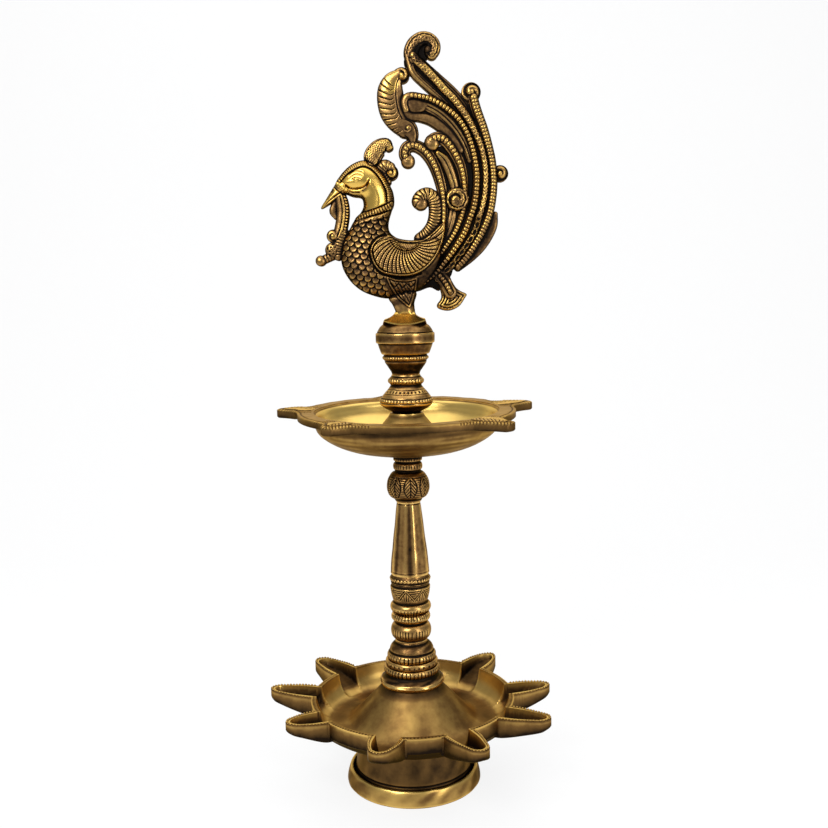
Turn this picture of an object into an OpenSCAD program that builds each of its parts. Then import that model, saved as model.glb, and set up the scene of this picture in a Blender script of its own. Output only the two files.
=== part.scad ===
// Brass oil lamp: two oil bowls on a turned pillar, with a peacock on top.
// Millimetres. The foot stands on z = 0, the bird looks along -x and the front is -y.

/* [Foot] */
// Radius of the foot at the floor
foot_r = 41.6; // [39:0.1:46]
// Height of the turned-up lip
foot_lip_h = 10; // [8:0.5:12]
// Height of the plate that carries the lower bowl
foot_h = 30; // [28:0.5:34]
// Wall of the foot casting
foot_wall = 3; // [2.6:0.1:3.6]

/* [Lower bowl] */
// Radius of the rim between the spouts
low_rim_r = 63; // [60:0.5:68]
// Height of the rim above the foot plate
low_rim_h = 23.5; // [22:0.5:26]
// Height of the dome above the foot plate
low_dome_h = 32; // [30:0.5:36]
// Number of spouts
low_spouts = 9; // [7:1:10]
// Angle of the first spout, turned from the front
low_turn = 22.7; // [0:0.1:40]
// Reach of a spout past the rim
low_reach = 25.5; // [20:0.5:28]
// Rise of a spout's tip over the rim
low_rise = 2; // [0.5:0.1:3]
// Outer width of a spout at the rim
low_spout_w = 20.5; // [18:0.5:22]
// Wall of a spout
low_spout_wall = 2.8; // [2.2:0.1:3.4]

/* [Upper bowl] */
// Radius of the dish under its lips
up_dish_r = 56; // [54:0.5:60]
// Radius of the flat rim between the lips
up_rim_r = 65.5; // [63:0.5:69]
// Height of the rim above the pillar
up_rim_h = 27; // [26:0.5:30]
// Height of the boss above the pillar
up_boss_h = 25.5; // [24:0.5:28]
// Number of pointed lips
up_lips = 5; // [4:1:7]
// Angle of the first lip, turned from the front
up_turn = 43; // [0:1:72]
// Reach of a lip past the rim
up_reach = 14.5; // [10:0.5:16]
// Half width of a lip at the rim
up_lip_w = 18; // [15:0.5:20]
// Thickness of the rim and its lips
up_lip_t = 3.2; // [2.6:0.1:4]

/* [Bowl castings] */
// Wall of both bowls
bowl_wall = 3; // [2.6:0.1:3.4]

/* [Pillar] */
// Radius of the bell at its lip
bell_r = 20; // [19:0.1:22]
// Height of the bell
bell_h = 27.5; // [26:0.5:31]
// Largest radius of the fluted rings
ring_r = 12.6; // [12:0.1:14]
// Height of the ring stack
rings_h = 42; // [38:0.5:48]
// Radius of the shaft at its foot
shaft_r = 11.8; // [10.5:0.1:12.2]
// Radius of the shaft under the ball
shaft_top_r = 7.2; // [6.8:0.1:8.5]
// Height of the shaft
shaft_h = 45.5; // [40:0.5:60]
// Radius of the ball
ball_r = 13; // [12.2:0.1:14.5]
// Height of the knob section
knob_h = 28.5; // [27:0.5:31]

/* [Finial] */
// Radius of the bulb on the boss
bulb_r = 16; // [14.5:0.1:18]
// Height of the bulb section
bulb_h = 23; // [21:0.5:26]
// Radius of the cup at its top band
cup_r = 17.6; // [16.8:0.1:19.5]
// Height of the cup
cup_h = 30.5; // [28:0.5:34]
// Height of the bird over its plinth
bird_h = 165; // [150:1:180]
// Thickness of the tail plumes
plume_t = 9; // [7:0.5:11]
// Thickness of the bird's body
bird_t = 25; // [20:0.5:30]

/* [Screws and fits] */
// Radius of the stud in the foot
low_stud_r = 5; // [4.5:0.1:5.4]
// Radius of the stud in the upper bowl
up_stud_r = 4; // [3.6:0.1:4.4]
// Length of the lower screw joint
low_screw = 12.5; // [10:0.5:13]
// Length of the upper screw joint
up_screw = 9.5; // [8:0.5:10]
// Radial clearance of screws and turning bores
run_gap = 0.06; // [0.04:0.01:0.09]
// Radial clearance of soldered spigots
spigot_gap = 0.1; // [0.05:0.05:0.2]

/* [Hidden] */
$fn = 96;

// Heights of the joints, from the floor up
z_bell = foot_h + low_dome_h;
z_rings = z_bell + bell_h;
z_shaft = z_rings + rings_h;
z_knob = z_shaft + shaft_h;
z_up = z_knob + knob_h;
z_bulb = z_up + up_boss_h;
z_cup = z_bulb + bulb_h;
z_bird = z_cup + cup_h;

// Radius and height of the lower bowl's trough, from the bowl's underside
trough_r = low_rim_r * 0.73;
trough_z = low_rim_h * 0.357;

// Degrees and millimetres by which the cast spouts and lips differ from even ones
low_uneven = [
    [2.5, 3.2], [-1, 3], [-7, -1.3], [-3.2, -4], [0, 0], [3.9, 0.5], [0.2, 2], [-2.8, -3.4], [4, -2.5]];
up_uneven = [[1, 3], [-5, 3], [0, 0], [1, 0.7], [-6, -3]];

// Foot plate, washer and nut
plate_t = 4;
washer_t = 2;
washer_r = 10.5;
nut_h = 8;
nut_r = 9.8;
z_plate = foot_h - plate_t;
z_nut = z_plate - washer_t - nut_h;

// Spigots between soldered sections
spigot_r = 5;
spigot_h = 8;
thin_spigot_r = 3.6;
thin_spigot_h = 6;
tang_r = 3.5;
tang_h = 9;
end_gap = 0.5;

// Colours of new and dark brass, and of steel
brass = [0.72, 0.53, 0.24];
dark_brass = [0.55, 0.40, 0.18];
steel = [0.62, 0.62, 0.64];

// Smooth curves through points
function blend(a, b, c, d, t) =
    0.5 * (2 * b + (c - a) * t + (2 * a - 5 * b + 4 * c - d) * t * t
    + (3 * b - a - 3 * c + d) * t * t * t);
function smooth(p, n) = concat(
    [for (i = [0:len(p) - 2]) for (j = [0:n - 1])
        blend(p[max(i - 1, 0)], p[i], p[i + 1], p[min(i + 2, len(p) - 1)], j / n)],
    [p[len(p) - 1]]);

// Points stretched to a radius and a height
function fitted(p, rs, hs) = [for (q = p) [q[0] * rs, q[1] * hs]];

// Half round bead standing on a radius
function bead(r, z0, z1, out) =
    [for (i = [0:8]) [r + out * sin(22.5 * i), z0 + (z1 - z0) * (1 - cos(22.5 * i)) / 2]];

// Outline mirrored about the x axis
function both_sides(p) = concat(p, [for (i = [len(p) - 2:-1:0]) [p[i][0], -p[i][1]]]);

// Turned solid from a list of radii and heights
module turned(p) {
    rotate_extrude() polygon(concat([[0, p[0][1]]], p, [[0, p[len(p) - 1][1]]]));
}

// Angle and reach of a spout or lip as it is cast, the first turned from the front
function cast_angle(i, count, turn, uneven) =
    turn - 90 + i * 360 / count + (i < len(uneven) ? uneven[i][0] : 0);
function cast_reach(i, reach, uneven) = reach + (i < len(uneven) ? uneven[i][1] : 0);

// Prism seen from the side, standing across the x axis
module side_prism(p, w) {
    rotate([90, 0, 0]) linear_extrude(w, center = true) polygon(p);
}

// Foot with its lip, groove and drum
module foot() {
    lip_r = foot_r - 2.4;
    drum_r = foot_r - 5.2;
    color(brass) difference() {
        turned(concat(
            [[foot_r - 0.8, 0], [foot_r, 0.9], [lip_r + 0.3, foot_lip_h - 0.7], [lip_r - 0.6, foot_lip_h]],
            [[lip_r - 1.8, foot_lip_h - 0.9], [drum_r + 0.4, foot_lip_h - 3], [drum_r, foot_lip_h - 2]],
            smooth([[drum_r - 0.4, foot_lip_h + 1], [drum_r - 1.3, 18], [drum_r - 2.2, foot_h - 3]], 4),
            [[drum_r - 2.6, foot_h]]));
        translate([0, 0, -1]) turned([
            [foot_r - foot_wall - 0.6, 0], [foot_r - foot_wall - 0.6, 3], [drum_r - foot_wall, 7],
            [drum_r - foot_wall - 1.6, z_plate - 2], [drum_r - foot_wall - 3.6, z_plate + 1]]);
        cylinder(r = low_stud_r + run_gap, h = foot_h + 1);
    }
}

module foot_washer() {
    color(steel) translate([0, 0, z_plate - washer_t]) difference() {
        cylinder(r = washer_r, h = washer_t);
        translate([0, 0, -1]) cylinder(r = low_stud_r + run_gap, h = washer_t + 2);
    }
}

module foot_nut() {
    color(steel) translate([0, 0, z_nut]) difference() {
        cylinder(r = nut_r, h = nut_h, $fn = 6);
        translate([0, 0, -1]) cylinder(r = low_stud_r + run_gap, h = nut_h + 2);
    }
}

module lower_stud() {
    color(steel) translate([0, 0, z_nut - 2]) cylinder(r = low_stud_r, h = z_bell + low_screw + 2 - z_nut);
}

// Plan of a lower spout from a start radius, with a half width, a reach and a wall left at its tip
function spout_plan(from, w, reach, wall) =
    let (tip = low_rim_r + reach - wall)
    both_sides(concat([[from, w]], smooth([
        [low_rim_r - 2, w], [low_rim_r + reach * 0.28, w * 0.94], [low_rim_r + reach * 0.58, w * 0.76],
        [tip - w * 0.38, w * 0.54], [tip - w * 0.09, w * 0.25], [tip, 0]], 3)));

// Outside of a lower spout
module spout_body(reach) {
    tip = low_rim_r + reach;
    start = low_rim_r - bowl_wall - 2.5;
    intersection() {
        linear_extrude(low_rim_h + low_rise + 1)
            polygon(spout_plan(low_rim_r * 0.82, low_spout_w / 2, reach, 0));
        side_prism(concat(
            [[start + 1.5, low_rim_h - 0.1], [start, low_rim_h - 0.1], [start, 11.8]],
            smooth([[low_rim_r + 1, 11.6], [tip - 7, 16.9], [tip - 2.5, 18.5], [tip + 1, 20.6]], 3),
            [[tip + 1, low_rim_h + low_rise]]), low_spout_w + 4);
    }
}

// Channel of a lower spout, open to the bowl
module spout_channel(reach) {
    tip = low_rim_r + reach;
    start = trough_r + 3;
    intersection() {
        translate([0, 0, trough_z]) linear_extrude(low_rim_h)
            polygon(spout_plan(start, low_spout_w / 2 - low_spout_wall, reach, low_spout_wall));
        side_prism([
            [start - 0.5, low_rim_h + 5], [start - 0.5, trough_z + 0.4], [start + 3, trough_z + 0.6],
            [low_rim_r - 8, trough_z + 2], [low_rim_r, low_rim_h - 9.2],
            [low_rim_r + reach * 0.35, low_rim_h - 6.6], [tip - 9, low_rim_h - 3.9],
            [tip - 2, low_rim_h - 0.6], [tip + 2, low_rim_h + 5]], low_spout_w + 4);
    }
}

// Deep bowl: a dome in the middle, a trough around it and spouts through the wall
module lower_bowl() {
    rim_in = low_rim_r - bowl_wall;
    seat = bell_r - 2.5;
    color(brass) translate([0, 0, foot_h]) difference() {
        union() {
            turned(concat(
                [[foot_r - 8.2, 0]],
                smooth([
                    [low_rim_r * 0.6, 0.9], [trough_r, trough_z / 2 - 0.4], [low_rim_r * 0.87, 7.4],
                    [low_rim_r * 0.95, 10.6]], 3),
                [[low_rim_r - 1.2, 13.4], [low_rim_r, low_rim_h], [rim_in - 2, low_rim_h]],
                [[seat, low_dome_h]]));
            for (i = [0:low_spouts - 1]) rotate(cast_angle(i, low_spouts, low_turn, low_uneven))
                spout_body(cast_reach(i, low_reach, low_uneven));
        }
        rotate_extrude() polygon(concat(
            smooth([
                [seat, low_dome_h], [seat + 1.5, low_dome_h - 2.4], [seat + 4, low_dome_h - 6.6],
                [seat + 8, low_dome_h - 12], [trough_r - 15, trough_z + 7], [trough_r - 9.5, trough_z + 3],
                [trough_r - 4.5, trough_z + 0.5], [trough_r + 3.5, trough_z + 0.2],
                [rim_in - 7, trough_z + 1.6], [rim_in - 4.2, trough_z + 4],
                [rim_in - 1.6, trough_z + 8.2], [rim_in, low_rim_h]], 4),
            [[rim_in, low_dome_h + 2], [seat, low_dome_h + 2]]));
        for (i = [0:low_spouts - 1]) rotate(cast_angle(i, low_spouts, low_turn, low_uneven))
            spout_channel(cast_reach(i, low_reach, low_uneven));
        translate([0, 0, -1]) turned(smooth([
            [foot_r - 14.6, 0], [foot_r - 15.6, 7], [bell_r + 2, low_dome_h - 15],
            [bell_r - 4, low_dome_h - 8.4], [low_stud_r + 4, low_dome_h - 5.5]], 3));
        cylinder(r = low_stud_r + run_gap, h = low_dome_h + 1);
    }
}

// Bell with three rings and a domed cap
module pillar_bell() {
    rs = bell_r / 20;
    hs = bell_h / 27.5;
    color(dark_brass) translate([0, 0, z_bell]) difference() {
        turned(fitted(concat(
            [[18.6, 0], [19.8, 0.9], [20, 2.2], [19.3, 3.6]],
            smooth([[17.8, 4.8], [16.4, 6.2], [15.9, 7.2]], 2),
            bead(15.9, 7.4, 11.8, 1.4), bead(15.2, 11.9, 15.9, 1.0), bead(13.9, 16, 20.4, 1.2),
            smooth([[13.7, 20.6], [13.3, 22.8], [12.2, 24.8], [10.3, 26.5], [9.9, 27.5]], 2)), rs, hs));
        translate([0, 0, -1]) cylinder(r = low_stud_r + run_gap, h = low_screw + end_gap + 1);
        translate([0, 0, bell_h - spigot_h - end_gap])
            cylinder(r = spigot_r + spigot_gap, h = spigot_h + end_gap + 1);
    }
}

// Fluted rings, engraved band and collar
module pillar_rings() {
    rs = ring_r / 12.6;
    hs = rings_h / 42;
    color(dark_brass) translate([0, 0, z_rings]) difference() {
        union() {
            turned(fitted(concat(
                [[9.7, 0], [9.6, 1]], bead(9.4, 1.4, 11.4, 3.1), [[9.3, 12]],
                bead(9.5, 12.6, 17.9, 2.6), [[11.6, 18.2]], bead(10.3, 18.5, 24.4, 2.3),
                [[10.4, 24.8], [10.8, 26]],
                smooth([[11.1, 27.2], [11.9, 31], [12.3, 34.4]], 2), [[11.6, 34.9], [11.6, 35.5]],
                bead(11.5, 35.7, 41.2, 0.6), [[11.2, 41.5], [11.2, 42]]), rs, hs));
            translate([0, 0, -spigot_h]) cylinder(r = spigot_r, h = spigot_h + 1);
        }
        translate([0, 0, rings_h - spigot_h - end_gap])
            cylinder(r = spigot_r + spigot_gap, h = spigot_h + end_gap + 1);
    }
}

// Plain shaft, swelling towards its foot
module pillar_shaft() {
    d = shaft_r - shaft_top_r;
    color(brass) translate([0, 0, z_shaft]) difference() {
        union() {
            turned(concat(
                [[shaft_r - 0.3, 0], [shaft_r, 0.4], [shaft_r, 1.2]],
                smooth([
                    [shaft_r - 0.1, 3], [shaft_top_r + d * 0.86, shaft_h * 0.22],
                    [shaft_top_r + d * 0.58, shaft_h * 0.45], [shaft_top_r + d * 0.26, shaft_h * 0.74],
                    [shaft_top_r, shaft_h - 1.4]], 3),
                [[shaft_top_r + 0.2, shaft_h]]));
            translate([0, 0, -spigot_h]) cylinder(r = spigot_r, h = spigot_h + 1);
        }
        translate([0, 0, shaft_h - thin_spigot_h - end_gap])
            cylinder(r = thin_spigot_r + spigot_gap, h = thin_spigot_h + end_gap + 1);
    }
}

// Ball, neck rings and the collar under the upper bowl
module pillar_knob() {
    rs = ball_r / 13;
    hs = knob_h / 27;
    color(dark_brass) translate([0, 0, z_knob]) difference() {
        union() {
            turned(fitted(concat(
                [[8, 0], [8.3, 0.8]],
                smooth([
                    [8.6, 1.4], [11.4, 3.2], [12.8, 6.2], [13, 9.4], [12.2, 13], [10, 16.2], [8.2, 17.2]], 3),
                [[7.9, 17.8]], bead(7.9, 18.2, 22.4, 1),
                [[7.8, 22.8], [7.8, 23.6], [9.2, 24.4], [12.6, 26.2], [13, 27]]), rs, hs));
            translate([0, 0, -thin_spigot_h]) cylinder(r = thin_spigot_r, h = thin_spigot_h + 1);
        }
        translate([0, 0, knob_h - low_screw - 1]) cylinder(r = up_stud_r + run_gap, h = low_screw + 2);
    }
}

// Half plan of an upper lip, from the rim to the point
function lip_half(reach) = let (tip = up_rim_r + reach) smooth([
    [up_rim_r - 9, up_lip_w * 1.04], [sqrt(up_rim_r * up_rim_r - up_lip_w * up_lip_w) - 1, up_lip_w],
    [up_rim_r + reach * 0.08, up_lip_w * 0.6], [up_rim_r + reach * 0.5, up_lip_w * 0.32],
    [tip - 2.4, up_lip_w * 0.2], [tip - 0.6, up_lip_w * 0.1], [tip, 0]], 3);

// Shallow dish with a flat rim, pointed lips and a boss in the middle
module upper_bowl() {
    flat = ball_r + 1;
    under = up_rim_h - up_lip_t;
    in_r = up_dish_r - bowl_wall;
    boss_r = up_stud_r + 6;
    color(brass) translate([0, 0, z_up]) difference() {
        union() {
            turned(concat(
                [[flat, 0]],
                smooth([
                    [up_dish_r * 0.4, 0.8], [up_dish_r * 0.62, 3.1], [up_dish_r * 0.8, 7.2],
                    [up_dish_r * 0.94, 13.2], [up_dish_r * 0.99, 19], [up_dish_r, under]], 3),
                [[up_rim_r - 0.5, under], [up_rim_r, under + 0.5], [up_rim_r, up_rim_h]]));
            for (i = [0:up_lips - 1]) rotate(cast_angle(i, up_lips, up_turn, up_uneven))
                translate([0, 0, under + 0.2]) linear_extrude(up_lip_t - 0.2)
                    polygon(both_sides(lip_half(cast_reach(i, up_reach, up_uneven))));
        }
        rotate_extrude() polygon(concat(
            [[boss_r, up_rim_h + 1], [boss_r, up_boss_h - 0.6]],
            smooth([
                [boss_r + 0.8, up_boss_h - 2], [up_dish_r * 0.26, up_boss_h * 0.74],
                [up_dish_r * 0.38, up_boss_h * 0.43], [up_dish_r * 0.49, bowl_wall + 3.2],
                [up_dish_r * 0.6, bowl_wall + 3.7], [up_dish_r * 0.74, bowl_wall + 6.6],
                [in_r - 3.4, 14 + bowl_wall], [in_r - 0.6, under - 2.4], [in_r + 0.8, under + 0.6],
                [in_r + 3.2, up_rim_h]], 3),
            [[in_r + 3.2, up_rim_h + 1]]));
        translate([0, 0, up_boss_h]) cylinder(r = boss_r + 1, h = up_rim_h);
        translate([0, 0, -1]) cylinder(r = up_stud_r + run_gap, h = up_boss_h + 2);
    }
}

module upper_stud() {
    color(steel) translate([0, 0, z_up - low_screw + 0.5])
        cylinder(r = up_stud_r, h = low_screw - 0.5 + up_boss_h + up_screw);
}

// Squat bulb, neck and beaded ring
module pedestal_bulb() {
    rs = bulb_r / 16;
    hs = bulb_h / 23;
    color(dark_brass) translate([0, 0, z_bulb]) difference() {
        turned(fitted(concat(
            [[8.4, 0], [8.7, 0.6]],
            smooth([
                [9.4, 1], [12.8, 2.6], [15.4, 4.8], [16, 6.6], [15.3, 8.6], [13.4, 11.4], [10.6, 14.6],
                [9.4, 16]], 3),
            [[9.2, 16.6]], bead(9.2, 17, 21.4, 1.1), [[8.8, 21.9], [8.5, 23]]), rs, hs));
        translate([0, 0, -1]) cylinder(r = up_stud_r + run_gap, h = up_screw + end_gap + 1);
        translate([0, 0, bulb_h - spigot_h - end_gap])
            cylinder(r = spigot_r + spigot_gap, h = spigot_h + end_gap + 1);
    }
}

// Vase with a plain top band and a domed top
module pedestal_cup() {
    rs = cup_r / 17.6;
    hs = cup_h / 30.5;
    color(brass) translate([0, 0, z_cup]) difference() {
        union() {
            turned(fitted(concat(
                smooth([[8.5, 0], [8.9, 1.8], [10.2, 4], [12.3, 6.2], [13.1, 7.6]], 2),
                [[12.9, 8], [13.3, 8.4]], bead(13.3, 8.6, 11.4, 0.7),
                [[13.6, 11.8], [14.2, 12.1]],
                smooth([[14.5, 12.8], [15.6, 15.4], [16.5, 18]], 2),
                [[17.1, 18.6], [17.6, 19.2], [17.6, 24.4], [17, 25.2]],
                smooth([[16.6, 25.6], [14.8, 28.4], [12.6, 30.1], [10.5, 30.5]], 3)), rs, hs));
            translate([0, 0, -spigot_h]) cylinder(r = spigot_r, h = spigot_h + 1);
        }
        translate([0, 0, cup_h - tang_h - end_gap])
            cylinder(r = tang_r + spigot_gap, h = tang_h + end_gap + 1);
    }
}

// Ring of points around one place on a plume: middle, half width, half thickness, direction
function section(q, t, d, m) =
    [for (k = [0:m - 1]) [
        q[0] - d[1] * q[2] * cos(360 * k / m), t * sin(360 * k / m), q[1] + d[0] * q[2] * cos(360 * k / m)]];
function heading(a, b) = [b[0] - a[0], b[1] - a[1]] / norm([b[0] - a[0], b[1] - a[1]]);

// Rounded plume through points of x, z and half width
module plume(p, t, n = 2, m = 8) {
    s = smooth(p, n);
    c = len(s) - 1;
    rows = [for (i = [0:c]) section(s[i], t / 2, heading(s[max(i - 1, 0)], s[min(i + 1, c)]), m)];
    polyhedron(
        points = [for (r = rows) for (q = r) q],
        faces = concat(
            [for (i = [0:c - 1]) for (k = [0:m - 1]) [i * m + k, i * m + (k + 1) % m, (i + 1) * m + k]],
            [for (i = [0:c - 1]) for (k = [0:m - 1])
                [i * m + (k + 1) % m, (i + 1) * m + (k + 1) % m, (i + 1) * m + k]],
            [[for (k = [m - 1:-1:0]) k]],
            [[for (k = [0:m - 1]) c * m + k]]),
        convexity = 6);
}

// Round boss of a scroll, domed on both sides
module boss(x, z, r, t) {
    translate([x, 0, z]) scale([1, t / (2 * r), 1]) sphere(r, $fn = r < 6 ? 14 : 20);
}

// Rounded lump from two domed bosses
module lump(a, b, ta, tb) {
    hull() {
        boss(a[0], a[1], a[2], ta);
        boss(b[0], b[1], b[2], tb);
    }
}

// Plumes of the tail, from the crook at the top round to the hooks inside
module tail() {
    crook_plume = [
        [17, 152.5, 1.6], [21, 154, 1.8], [22, 158, 1.8], [20, 161.5, 2], [16.5, 162.6, 2.3],
        [12, 161.5, 2.8], [8.5, 158, 3.2], [8, 153, 3.6], [10.5, 147.5, 4.4], [15.5, 142.5, 5.4],
        [21, 137, 5.6], [28, 130.5, 5.4], [34.5, 122, 5.2], [40, 113, 5], [43.5, 102, 4.6],
        [46.5, 89.5, 4.4], [46.5, 77, 4], [44.5, 64, 3.8], [40, 52, 3.6], [33.5, 41, 3.2], [20.5, 28, 3]];
    outer_plume = [
        [43, 129, 2.6], [46.6, 114, 2.8], [50, 103, 3.1], [52.5, 85, 3.2], [51.4, 65, 2.8], [47.4, 53, 2.6],
        [40.4, 42, 2.4], [25.5, 29, 2.4]];
    edge_leaf = [[54.6, 61.5, 1.2], [51.8, 52.5, 2.6], [45.4, 42.8, 2.6], [37, 35.2, 2.4], [27, 28, 2]];
    broad_plume = [
        [2, 126, 6.8], [12, 124, 7.4], [22.5, 119, 7.6], [30.5, 112.5, 7], [36, 104, 5.8], [40, 93.5, 5],
        [41.5, 81.5, 4.4], [41, 69.5, 4], [37.5, 57.5, 4], [31, 46.5, 4], [18.5, 31, 4]];
    ribbed_cap = [
        [2, 143, 4.4], [-2.5, 137.5, 5.6], [-4.4, 129, 6.4], [-3, 121, 6.2], [1, 114, 4.6], [4, 109.5, 3.2],
        [7, 104, 2.6]];
    hook_plume = [
        [18.4, 104, 3.4], [24.5, 104.6, 3.8], [30.5, 100, 3.8], [35, 92.5, 4.2], [37, 82.5, 4.4],
        [36.5, 71, 4.4], [33, 59.5, 4.2], [27, 48, 4], [18, 36, 4]];
    inner_crook = [
        [4.6, 92, 3.2], [3.8, 96.5, 3.8], [5, 100.2, 3.2], [8.5, 102, 3], [14.5, 100, 3.6], [19.5, 94.5, 4.6],
        [23.5, 85.5, 4.8], [25.5, 74.5, 5], [26, 64, 5], [24, 54, 4.8], [18, 42, 5]];
    ribbed_hook = [
        [10.2, 66.4, 3.2], [10.4, 70, 3.8], [12.4, 72.8, 3.2], [16.5, 73.8, 3.2], [20, 70, 3.6],
        [21.6, 64, 3.8], [20.6, 57.5, 3.8], [16, 49, 4.4]];
    plume(crook_plume, plume_t);
    plume(outer_plume, plume_t - 0.6);
    plume(edge_leaf, plume_t * 0.5);
    plume(broad_plume, plume_t + 0.4);
    plume(ribbed_cap, plume_t + 1);
    plume(hook_plume, plume_t - 0.8);
    plume(inner_crook, plume_t - 0.4);
    plume(ribbed_hook, plume_t * 0.8);
    plume([[25, 100, 3], [29, 90, 4], [31, 78, 4.4], [31.5, 66, 4.4], [29, 56, 4]], plume_t * 0.5);
    plume([[3, 144.5, 4], [9, 144, 3.8], [15, 141, 3]], plume_t * 0.6);
    plume([[16.5, 107, 1.8], [21, 108, 2.4], [28, 106, 3]], plume_t * 0.5);
    plume([[15.5, 102, 1.8], [19.5, 101.5, 2.2], [26, 99, 2.4]], plume_t * 0.5);
    plume([[3, 46.5, 3], [10, 46.5, 3.6], [16, 47, 4]], plume_t);
    boss(16, 156.5, 5.6, plume_t * 0.5);
    boss(17.5, 156.5, 1.9, plume_t);
    boss(42.8, 132, 5, plume_t);
    boss(57.4, 86.2, 4.8, plume_t * 0.8);
    boss(5.5, 111.5, 3.8, plume_t);
    boss(32, 71.5, 5.6, plume_t + 2);
}

// Body, wing, neck, head and their trimmings
module bird() {
    neck = [
        [-16.5, 43.5, 16], [-18.5, 52.5, 12.4], [-16, 62.5, 9.9], [-14, 70, 9.4], [-14, 76, 9],
        [-17, 81.5, 8.4]];
    wing = [
        [-15, 45, 2.6], [-11.5, 37.5, 6.4], [-1.5, 33.2, 7.6], [10, 35.5, 7.6], [19, 42.5, 5],
        [24, 54.5, 1.8]];
    mane = [
        [-33, 86.4, 1.8], [-28, 91, 2.4], [-21.5, 93.4, 2.8], [-14.5, 92, 3], [-8.5, 87, 3], [-5.4, 79, 2.2]];
    crest = [[-17, 92.5, 4.4], [-12.8, 99.5, 4.8], [-9, 103.4, 3.6], [-6, 101.8, 2]];
    garland = [
        [-38, 75, 2.8], [-35.4, 66.5, 3.2], [-34.8, 58.5, 3.2], [-37, 53, 3.6], [-39, 45, 4],
        [-47.6, 35, 3.2]];
    lump([-15.6, 35, 19.8], [2, 32, 17], bird_t, bird_t * 0.9);
    lump([2, 32.4, 16.4], [17.5, 34.5, 9.4], bird_t * 0.86, plume_t + 1);
    lump([-20.5, 83, 8.6], [-17, 82, 8.8], bird_t * 0.6, bird_t * 0.62);
    lump([-30, 82.8, 5.6], [-37.5, 78.2, 3.4], bird_t * 0.44, bird_t * 0.32);
    lump([-36.5, 78.6, 3.4], [-46, 68.6, 0.8], bird_t * 0.3, 1.6);
    lump([-4.6, 88.4, 4.1], [-8, 84, 4], bird_t * 0.3, bird_t * 0.36);
    lump([-36, 53.5, 3.4], [-31, 49, 3.4], bird_t * 0.26, bird_t * 0.3);
    lump([-38, 42, 3.6], [-31, 40, 5], bird_t * 0.26, bird_t * 0.4);
    lump([-32, 77, 3.2], [-24, 75, 4], bird_t * 0.2, bird_t * 0.3);
    boss(-40, 68, 2.8, bird_t * 0.24);
    boss(-41.6, 51.8, 3.2, bird_t * 0.26);
    boss(-8.6, 95, 3.6, bird_t * 0.3);
    plume(neck, bird_t * 0.74, 2, 14);
    plume(wing, bird_t + 1.4, 2, 14);
    plume(mane, bird_t * 0.5);
    plume(crest, bird_t * 0.34);
    plume(garland, bird_t * 0.28);
    plume([[-0.5, 25, 9.4], [-0.5, 16, 7.8], [0, 11, 6.6], [0.5, 4, 6]], bird_t * 0.6, 2, 14);
    plume([[17, 31, 4.4], [24.2, 21.5, 3.6], [28.2, 15.5, 5.8], [31, 9.6, 9.2]], plume_t);
}

// Pyramid under the leg, with straight sides
module plinth() {
    hull() {
        translate([0, 0, 0.8]) cube([25.8, 25.8, 1.6], center = true);
        translate([0.5, 0, 5.6]) cube([12, 14, 0.8], center = true);
    }
}

module peacock() {
    s = bird_h / 165;
    color(brass) translate([0, 0, z_bird]) {
        translate([-0.8, 0, 0]) scale([s, 1, s]) {
            tail();
            bird();
        }
        plinth();
        translate([0, 0, -tang_h]) cylinder(r = tang_r, h = tang_h + 2);
    }
}

foot();
foot_washer();
foot_nut();
lower_stud();
lower_bowl();
pillar_bell();
pillar_rings();
pillar_shaft();
pillar_knob();
upper_bowl();
upper_stud();
pedestal_bulb();
pedestal_cup();
peacock();
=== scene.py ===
import math

import bpy
import numpy as np
from mathutils import Matrix


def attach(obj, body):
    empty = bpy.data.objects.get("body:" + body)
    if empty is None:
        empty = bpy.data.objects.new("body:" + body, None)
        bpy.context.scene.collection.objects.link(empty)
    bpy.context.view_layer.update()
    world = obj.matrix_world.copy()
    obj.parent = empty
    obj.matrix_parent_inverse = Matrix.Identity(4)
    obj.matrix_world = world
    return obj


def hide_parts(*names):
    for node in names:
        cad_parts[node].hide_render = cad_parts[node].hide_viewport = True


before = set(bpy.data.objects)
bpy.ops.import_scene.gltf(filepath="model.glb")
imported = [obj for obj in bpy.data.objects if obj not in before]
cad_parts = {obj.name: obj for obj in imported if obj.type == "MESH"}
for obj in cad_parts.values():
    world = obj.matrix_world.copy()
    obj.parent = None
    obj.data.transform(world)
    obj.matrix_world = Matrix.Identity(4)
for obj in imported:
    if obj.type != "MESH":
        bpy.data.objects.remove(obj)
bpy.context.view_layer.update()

MM = 0.001
TAU = 2 * math.pi

# Camera of the photograph: focal length and width of the picture in pixels, place in mm, pitch and roll
FOCAL, PICTURE = 1004.0, 828
EYE = (4.4, -600.0, 304.5)
PITCH = math.radians(7.1)
ROLL = math.atan(0.0199)

# Heights of the joints, of the foot and of the lower bowl's underside, and radii of the screw holes, in mm
Z_BELL, Z_RINGS, Z_SHAFT, Z_KNOB = 62.0, 89.5, 131.5, 177.0
Z_UP, Z_BULB, Z_CUP, Z_BIRD = 205.5, 231.0, 254.0, 284.5
FOOT_H, Z_LOW = 29.95, 30.0
LOW_HOLE, UP_HOLE = 5.06, 4.06


# Curves and grids


def smooth(points, n=6):
    """Curve through points, n steps between two of them."""
    p = np.asarray(points, float)
    out = []
    for i in range(len(p) - 1):
        a, b, c, d = p[max(i - 1, 0)], p[i], p[i + 1], p[min(i + 2, len(p) - 1)]
        square, cube = 2 * a - 5 * b + 4 * c - d, 3 * b - a - 3 * c + d
        for t in np.arange(n) / n:
            out.append(0.5 * (2 * b + (c - a) * t + square * t * t + cube * t**3))
    out.append(p[-1])
    return np.array(out)


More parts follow.
